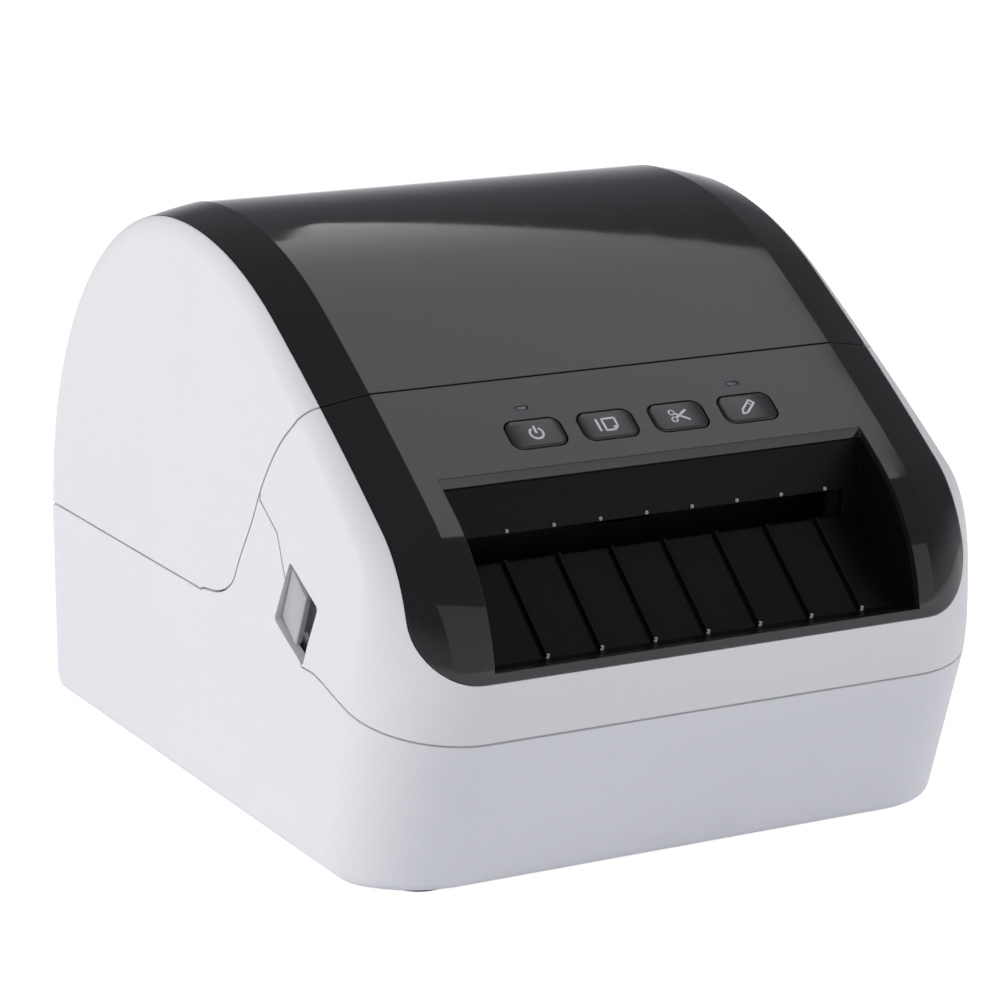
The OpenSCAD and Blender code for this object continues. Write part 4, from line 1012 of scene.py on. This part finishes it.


# %% [markdown]
# ## Metals and lenses
#
# Plated steel has a faint spangle, ground steel and aluminium show the direction in which
# they were worked, brass carries turning marks, and the motors are painted. The cutter frame
# and blades behind the exit slot get black steel instead of their own finish: painted shade,
# so the slot stays dark. The lens is a dark window with a milky core.

# %% Metals, motor paint and lens
def metal(name, tone, rough_at, stretch, marks, spangle=0.0):
    f = Finish(name)
    lines = f.noise(marks, 3.0, 0.6, stretch)
    clouds = f.noise(120.0, 3.0)
    colour = f.tint(clouds, tone, tuple(c * (0.9 - spangle) for c in tone))
    rough = rough_at + 0.12 * lines + 0.1 * clouds
    return f.surface(base_color=colour, metallic=1.0, roughness=rough,
                     normal=f.relief(lines, 0.000008, 0.0002))


finishes["steel"] = metal("steel", (0.6, 0.61, 0.63), 0.26, (1.0, 1.0, 1.0), 700.0, 0.1)
finishes["blade_steel"] = metal("blade_steel", (0.7, 0.71, 0.73), 0.16, (0.05, 1.0, 1.0), 2400.0)
finishes["black_steel"] = metal("black_steel", (0.02, 0.02, 0.022), 0.4, (0.1, 1.0, 1.0), 900.0)
finishes["aluminium"] = metal("aluminium", (0.72, 0.73, 0.75), 0.28, (0.03, 1.0, 1.0), 1800.0)
finishes["brass"] = metal("brass", (0.72, 0.53, 0.22), 0.2, (1.0, 0.3, 0.3), 1500.0)
finishes["motor_steel"] = satin("motor_steel", (0.16, 0.16, 0.17), 0.38, 0.00001, 0.1)
lens_finish = Finish("lens")
core = lens_finish.fit(lens_finish.noise(900.0, 1.0), 0.35, 0.65, 0.0, 1.0)
finishes["lens"] = lens_finish.surface(
    base_color=lens_finish.tint(core, (0.03, 0.035, 0.04), (0.12, 0.13, 0.14)),
    roughness=0.08 + 0.05 * core, normal=lens_finish.relief(core, 0.00001))
print(len(finishes), "finishes in all")

# %% [markdown]
# ## Ribs and pins of the tray
#
# Eight ribs carry the label down the floor, and each starts under a small pin on the lip
# above the slot. The pins and the short bars at the ribs' front ends are light grey on the
# black tray: painted glints. One tree makes a row of bars: a line of points across the width,
# one bar on each.

# %% Tray ribs
rib_count, rib_pitch, pin_pitch = 8, 0.0146, 0.0128
row = GrowTree("row_of_bars", {
    "Count": ("NodeSocketInt", rib_count), "Pitch": ("NodeSocketFloat", rib_pitch),
    "Size": ("NodeSocketVector", (0.0009, 0.028, 0.0011)),
    "Start": ("NodeSocketVector", (0, 0, 0)), "Turn": ("NodeSocketVector", (0, 0, 0)),
    "Material": ("NodeSocketMaterial", None)})
step = row.node("ShaderNodeCombineXYZ", sockets={0: row.value("Pitch")})
line = row.node("GeometryNodeMeshLine", {"mode": "OFFSET", "count_mode": "TOTAL"}, {
    "Count": row.value("Count"), "Start Location": row.value("Start"),
    "Offset": step.outputs[0]})
bar = row.node("GeometryNodeMeshCube", {}, {"Size": row.value("Size")})
turn = row.node("FunctionNodeEulerToRotation", {}, {0: row.value("Turn")})
placed = row.node("GeometryNodeInstanceOnPoints", {}, {
    "Points": line.outputs[0], "Instance": bar.outputs[0], "Rotation": turn.outputs[0]})
row.finish(placed.outputs[0])
floor_low, floor_high = (np.array(p) for p in (tray_hollow[2], tray_hollow[1]))
rib_run = (floor_high - floor_low) * mm
rib_tilt = math.atan2(rib_run[1], rib_run[0])
rib_sunk, rib_x = 0.25, -0.0422
rib_mid = (floor_low + floor_high) / 2 + rib_sunk * np.array([-math.sin(rib_tilt),
                                                              math.cos(rib_tilt)])


def bars(name, pitch, size, start, turn_x, finish):
    return row.grow(name, {
        "Count": rib_count, "Pitch": pitch, "Size": size, "Start": start,
        "Turn": (turn_x, 0.0, 0.0), "Material": finishes[finish]})


ribs = bars("tray_ribs", rib_pitch, (0.0009, float(np.linalg.norm(rib_run)), 0.0017),
            (rib_x, rib_mid[0] * mm, rib_mid[1] * mm), rib_tilt, "tray_black")
# The pins are small nubs, but their light grey on the black tray is a painted glint, and so are
# the light grey bars at the ribs' front ends.
glint_pins = bars("slot_glint_pins", pin_pitch, (0.0007, 0.0006, 0.0007), (-0.0415, -0.0827, 0.0842), 0.5,
            "grey_plastic")
rib_end_glints = bars("rib_end_glints", rib_pitch, (0.0008, 0.0004, 0.0011), (rib_x, -0.1044, 0.0591), 0.3,
                "grey_plastic")
print("ribs:", len(ribs.data.polygons), "faces, pins:", len(glint_pins.data.polygons))

# %% [markdown]
# ## Springs and screws
#
# The print head hangs on two posts with springs. A spiral curve with a round profile is
# the real form of such a spring. The case screws are countersunk heads with a cross recess.

# %% Springs of the print head
coil = GrowTree("pair_of_springs", {
    "Turns": ("NodeSocketFloat", 5.0), "Radius": ("NodeSocketFloat", 0.0036),
    "Height": ("NodeSocketFloat", 0.017), "Wire": ("NodeSocketFloat", 0.0003),
    "Start": ("NodeSocketVector", (0, 0, 0)), "Apart": ("NodeSocketVector", (0, 0, 0)),
    "Material": ("NodeSocketMaterial", None)})
spiral = coil.node("GeometryNodeCurveSpiral", {}, {
    "Resolution": 28, "Rotations": coil.value("Turns"), "Start Radius": coil.value("Radius"),
    "End Radius": coil.value("Radius"), "Height": coil.value("Height")})
wire = coil.node("GeometryNodeCurvePrimitiveCircle", {"mode": "RADIUS"}, {
    "Resolution": 8, "Radius": coil.value("Wire")})
tubes = coil.node("GeometryNodeCurveToMesh", {}, {
    "Curve": spiral.outputs[0], "Profile Curve": wire.outputs[0], "Fill Caps": True})
pair = coil.node("GeometryNodeMeshLine", {"mode": "OFFSET", "count_mode": "TOTAL"}, {
    "Count": 2, "Start Location": coil.value("Start"), "Offset": coil.value("Apart")})
hung = coil.node("GeometryNodeInstanceOnPoints", {}, {
    "Points": pair.outputs[0], "Instance": tubes.outputs[0]})
coil.finish(hung.outputs[0])
spring_low, spring_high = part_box("head_springs")
wire_r, spring_r, post_x, post_y = 0.0003, 0.0036, 0.038, -0.038
springs = coil.grow("head_coils", {
    "Turns": 6.0, "Radius": spring_r, "Height": spring_high.z - spring_low.z - 2 * wire_r,
    "Wire": wire_r, "Start": (-post_x, post_y, spring_low.z + wire_r),
    "Apart": (2 * post_x, 0.0, 0.0), "Material": finishes["steel"]})
print("springs:", len(springs.data.polygons), "faces")

# %% Screws of the case
screw_parts = []
for x, y in screw_places:
    head = plan_prism("head", circle(x, y, 1.88, 32), 1.55, 2.75)
    rounded(head, 0.3, 2)
    for u, v in ((1.2, 0.25), (0.25, 1.2)):
        cut(head, plan_prism("cross", rect(x - u, y - v, x + u, y + v), 1.4, 2.2))
    screw_parts += [head, plan_prism("shank", circle(x, y, 1.5, 24), 2.75, 13.5)]
screws = merge("case_screw_set", screw_parts)
print("screws:", len(screw_parts) // 2)


# %% [markdown]
# ## Dressing the pieces
#
# Each new piece gets its finish, rides on its body and stands for its CAD node. Sharp edges
# come from the angle between faces, so the flat plateau keeps its crease and the curves
# stay smooth.

# %% Dress the new pieces
def dress(piece, finish, body, slot, nodes, angle):
    mesh = piece.data
    mesh.materials.clear()
    mesh.materials.append(finishes[finish])
    mesh.polygons.foreach_set("use_smooth", [True] * len(mesh.polygons))
    mesh.polygons.foreach_set("material_index", [0] * len(mesh.polygons))
    mesh.set_sharp_from_angle(angle=math.radians(angle))
    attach(piece, body)
    if nodes:
        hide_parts(*nodes)


smooth, crisp, coiled = 8.0, 30.0, 60.0
outfits = [
    # The lower case wears the faintly blue copy of the white: painted cool light.
    (base_skin, "cool_lit_case_plastic", "base", "white_plastic", ["base_case"], smooth),
    (front_white, "white_plastic", "base", "white_plastic", ["front_frame"], smooth),
    (front_black, "black_gloss", "base", "black_gloss", ["front_panel"], smooth),
    (tray, "tray_black", "base", "black_gloss", ["label_tray"], crisp),
    (ribs, "tray_black", "base", "black_gloss", [], crisp),
    # The light grey pins and rib ends are painted glints on the black tray.
    (glint_pins, "grey_plastic", "base", "grey_plastic", [], crisp),
    (rib_end_glints, "grey_plastic", "base", "grey_plastic", [], crisp),
    (cover_white, "white_plastic", "cover", "white_plastic", ["cover_shell"], smooth),
    (cover_black, "black_gloss", "cover", "black_gloss", ["cover_top_panel"], smooth),
    (lenses, "lens", "base", "lens", ["panel_lights"], crisp),
    (springs, "steel", "cover", "steel", ["head_springs"], coiled),
    (screws, "steel", "base", "steel", ["case_screws"], crisp),
]
for side, grip in (("left", left_lever), ("right", right_lever)):
    outfits.append((grip, "grey_plastic", side + "_lever", "grey_plastic",
                    [side + "_release_lever"], crisp))
for name, cap in keys.items():
    outfits.append((cap, "button_plastic", name + "_key", "button_plastic",
                    [name + "_button"], crisp))
    outfits.append((icons[name], "icon_print", name + "_key", "white_plastic", [], crisp))
for outfit in outfits:
    dress(*outfit)
print("dressed", len(outfits), "pieces")

# %% Finish of every CAD node that stays
slot_of = {s["node"]: s["material_slot"] for s in frame["record"]["subparts"]}
# The cutter frame and both blades get black steel in place of their own finish: painted shade
# that keeps the exit slot dark.
for shaded_in_slot in ("cutter_frame", "fixed_blade", "moving_blade"):
    slot_of[shaded_in_slot] = "black_steel"
for node_name, node in frame["nodes"].items():
    finish = finishes[slot_of[node_name]]
    slots = node.data.materials
    if not slots:
        slots.append(None)
    for index in range(len(slots)):
        slots[index] = finish
print("finished", len(frame["nodes"]), "CAD nodes")

# %% [markdown]
# ## Light and floor
#
# In the picture a long soft light over the right shoulder is mirrored in the flat middle
# of the black strip, and nowhere else: its borders turn away from it. A curved band of
# light along the mirror direction gives just that. A large soft light from the left fills
# the side, and a small one in front fills the nose. The sky is pale at the horizon, which
# the far edge of the roof mirrors, and darker overhead.


# %% The overhead band
def glow_card(name, points, faces, strengths):
    mesh = bpy.data.meshes.new(name)
    mesh.from_pydata(points, [], faces)
    layer = mesh.attributes.new("glow", "FLOAT", "POINT")
    layer.data.foreach_set("value", strengths)
    hung = bpy.data.objects.new(name, mesh)
    scene.collection.objects.link(hung)
    f = Finish(name)
    level = f.node("ShaderNodeAttribute", {"attribute_name": "glow"}).out("Fac")
    tint = (0.96, 0.97, 1.0, 1.0)
    light = f.node("ShaderNodeEmission", {}, {"Color": tint, "Strength": level}).out()
    f.node("ShaderNodeOutputMaterial", {}, {"Surface": light})
    mesh.materials.append(f.material)
    hung.visible_camera = False


band_r, band_z, band_end, band_rows = 1.2, 0.09, 108.0, 24
edge_x = [0.40, 0.466, 0.475, 0.487, 0.543, 0.608, 0.685, 0.746, 0.782, 0.793, 0.82, 0.85]
edge_turn = [47.0, 45.5, 39.5, 36.7, 41.0, 48.3, 57.2, 65.3, 70.6, 76.5, 83.7, 92.0]
glow_turn, glow_level = [30, 40, 58, 84, 108], [2.0, 1.7, 1.25, 1.5, 1.6]
band_columns = np.linspace(edge_x[0], edge_x[-1], 91)
band_points, band_glow, band_faces = [], [], []
for x in band_columns:
    low = float(np.interp(x, edge_x, edge_turn))
    for turn_at in np.linspace(low, band_end, band_rows):
        a = math.radians(turn_at)
        band_points.append((x, band_r * math.cos(a), band_z + band_r * math.sin(a)))
        band_glow.append(float(np.interp(turn_at, glow_turn, glow_level)))
for i in range(len(band_columns) - 1):
    for j in range(band_rows - 1):
        a = i * band_rows + j
        band_faces.append((a, a + 1, a + band_rows + 1, a + band_rows))
glow_card("overhead_band", band_points, band_faces, band_glow)
print("band of light:", len(band_faces), "faces")


# %% Soft lights
def soft_light(name, place, target, size, power, colour):
    data = bpy.data.lights.new(name, "AREA")
    data.shape = "RECTANGLE"
    data.size, data.size_y = size
    data.energy = power
    data.color = colour
    lamp = bpy.data.objects.new(name, data)
    scene.collection.objects.link(lamp)
    lamp.location = place
    lamp.rotation_euler = (Vector(target) - Vector(place)).to_track_quat("-Z", "Y").to_euler()
    lamp.visible_glossy = False


soft_light("left_key", (-1.9, 0.15, 0.75), (0, 0, 0.06), (1.6, 1.3), 25.0, (1.0, 1.0, 1.0))
soft_light("front_fill", (0.7, -1.15, 0.4), (0, 0, 0.05), (1.0, 0.6), 4.0, (0.97, 0.97, 1.0))
world = bpy.data.worlds.new("studio")
world.use_nodes = True
horizon, overhead, sky_edge = (0.62, 0.64, 0.68), (0.2, 0.206, 0.222), 0.38
sky = Finish("sky", world.node_tree)
toward = sky.node("ShaderNodeTexCoord").out("Generated")
rise = sky.node("ShaderNodeSeparateXYZ", {}, {0: toward}).out(2)
tone = sky.tint(sky.fit(rise, 0.0, sky_edge, 0.0, 1.0), horizon, overhead)
sky.tree.links.new(tone.socket, sky.tree.nodes["Background"].inputs["Color"])
scene.world = world

# %% The low front card
card_y, card_top = -1.55, 1.02
card_points = [(x, card_y, z) for x, z in rect(-0.4, 0.0, 1.7, card_top)]
glow_card("front_card", card_points, [(0, 1, 2, 3)], [0.85, 0.85, 0.7, 0.7])
print("front card hung")

# %% [markdown]
# The floor is pale and dull. To the camera and to mirrors it glows up to white, as the
# paper sweep of a studio does, and the shadow under the case stays on it.

# %% The floor
floor = new_piece("floor", [(-6, -6, 0), (6, -6, 0), (6, 12, 0), (-6, 12, 0)], [(0, 1, 2, 3)])
sweep = Finish("floor_paper")
paper_tone = sweep.tint(sweep.noise(3.0, 2.0) * 0.2, (0.74, 0.75, 0.8), (0.7, 0.71, 0.76))
dull = sweep.node("ShaderNodeBsdfDiffuse", {}, {"Color": paper_tone}).out()
path = sweep.node("ShaderNodeLightPath")
seen = path.out("Is Camera Ray") + path.out("Is Glossy Ray") + path.out("Is Transmission Ray")
white, sweep_glow = (1.0, 1.0, 1.0, 1.0), 0.85
glow = sweep.node("ShaderNodeEmission", {}, {"Color": white, "Strength": sweep_glow}).out()
lit = sweep.node("ShaderNodeAddShader", {}, {0: dull, 1: glow}).out()
mixed = sweep.node("ShaderNodeMixShader", {}, {0: seen, 1: dull, 2: lit}).out()
sweep.node("ShaderNodeOutputMaterial", {}, {"Surface": mixed})
floor.data.materials.append(sweep.material)
print("floor laid")
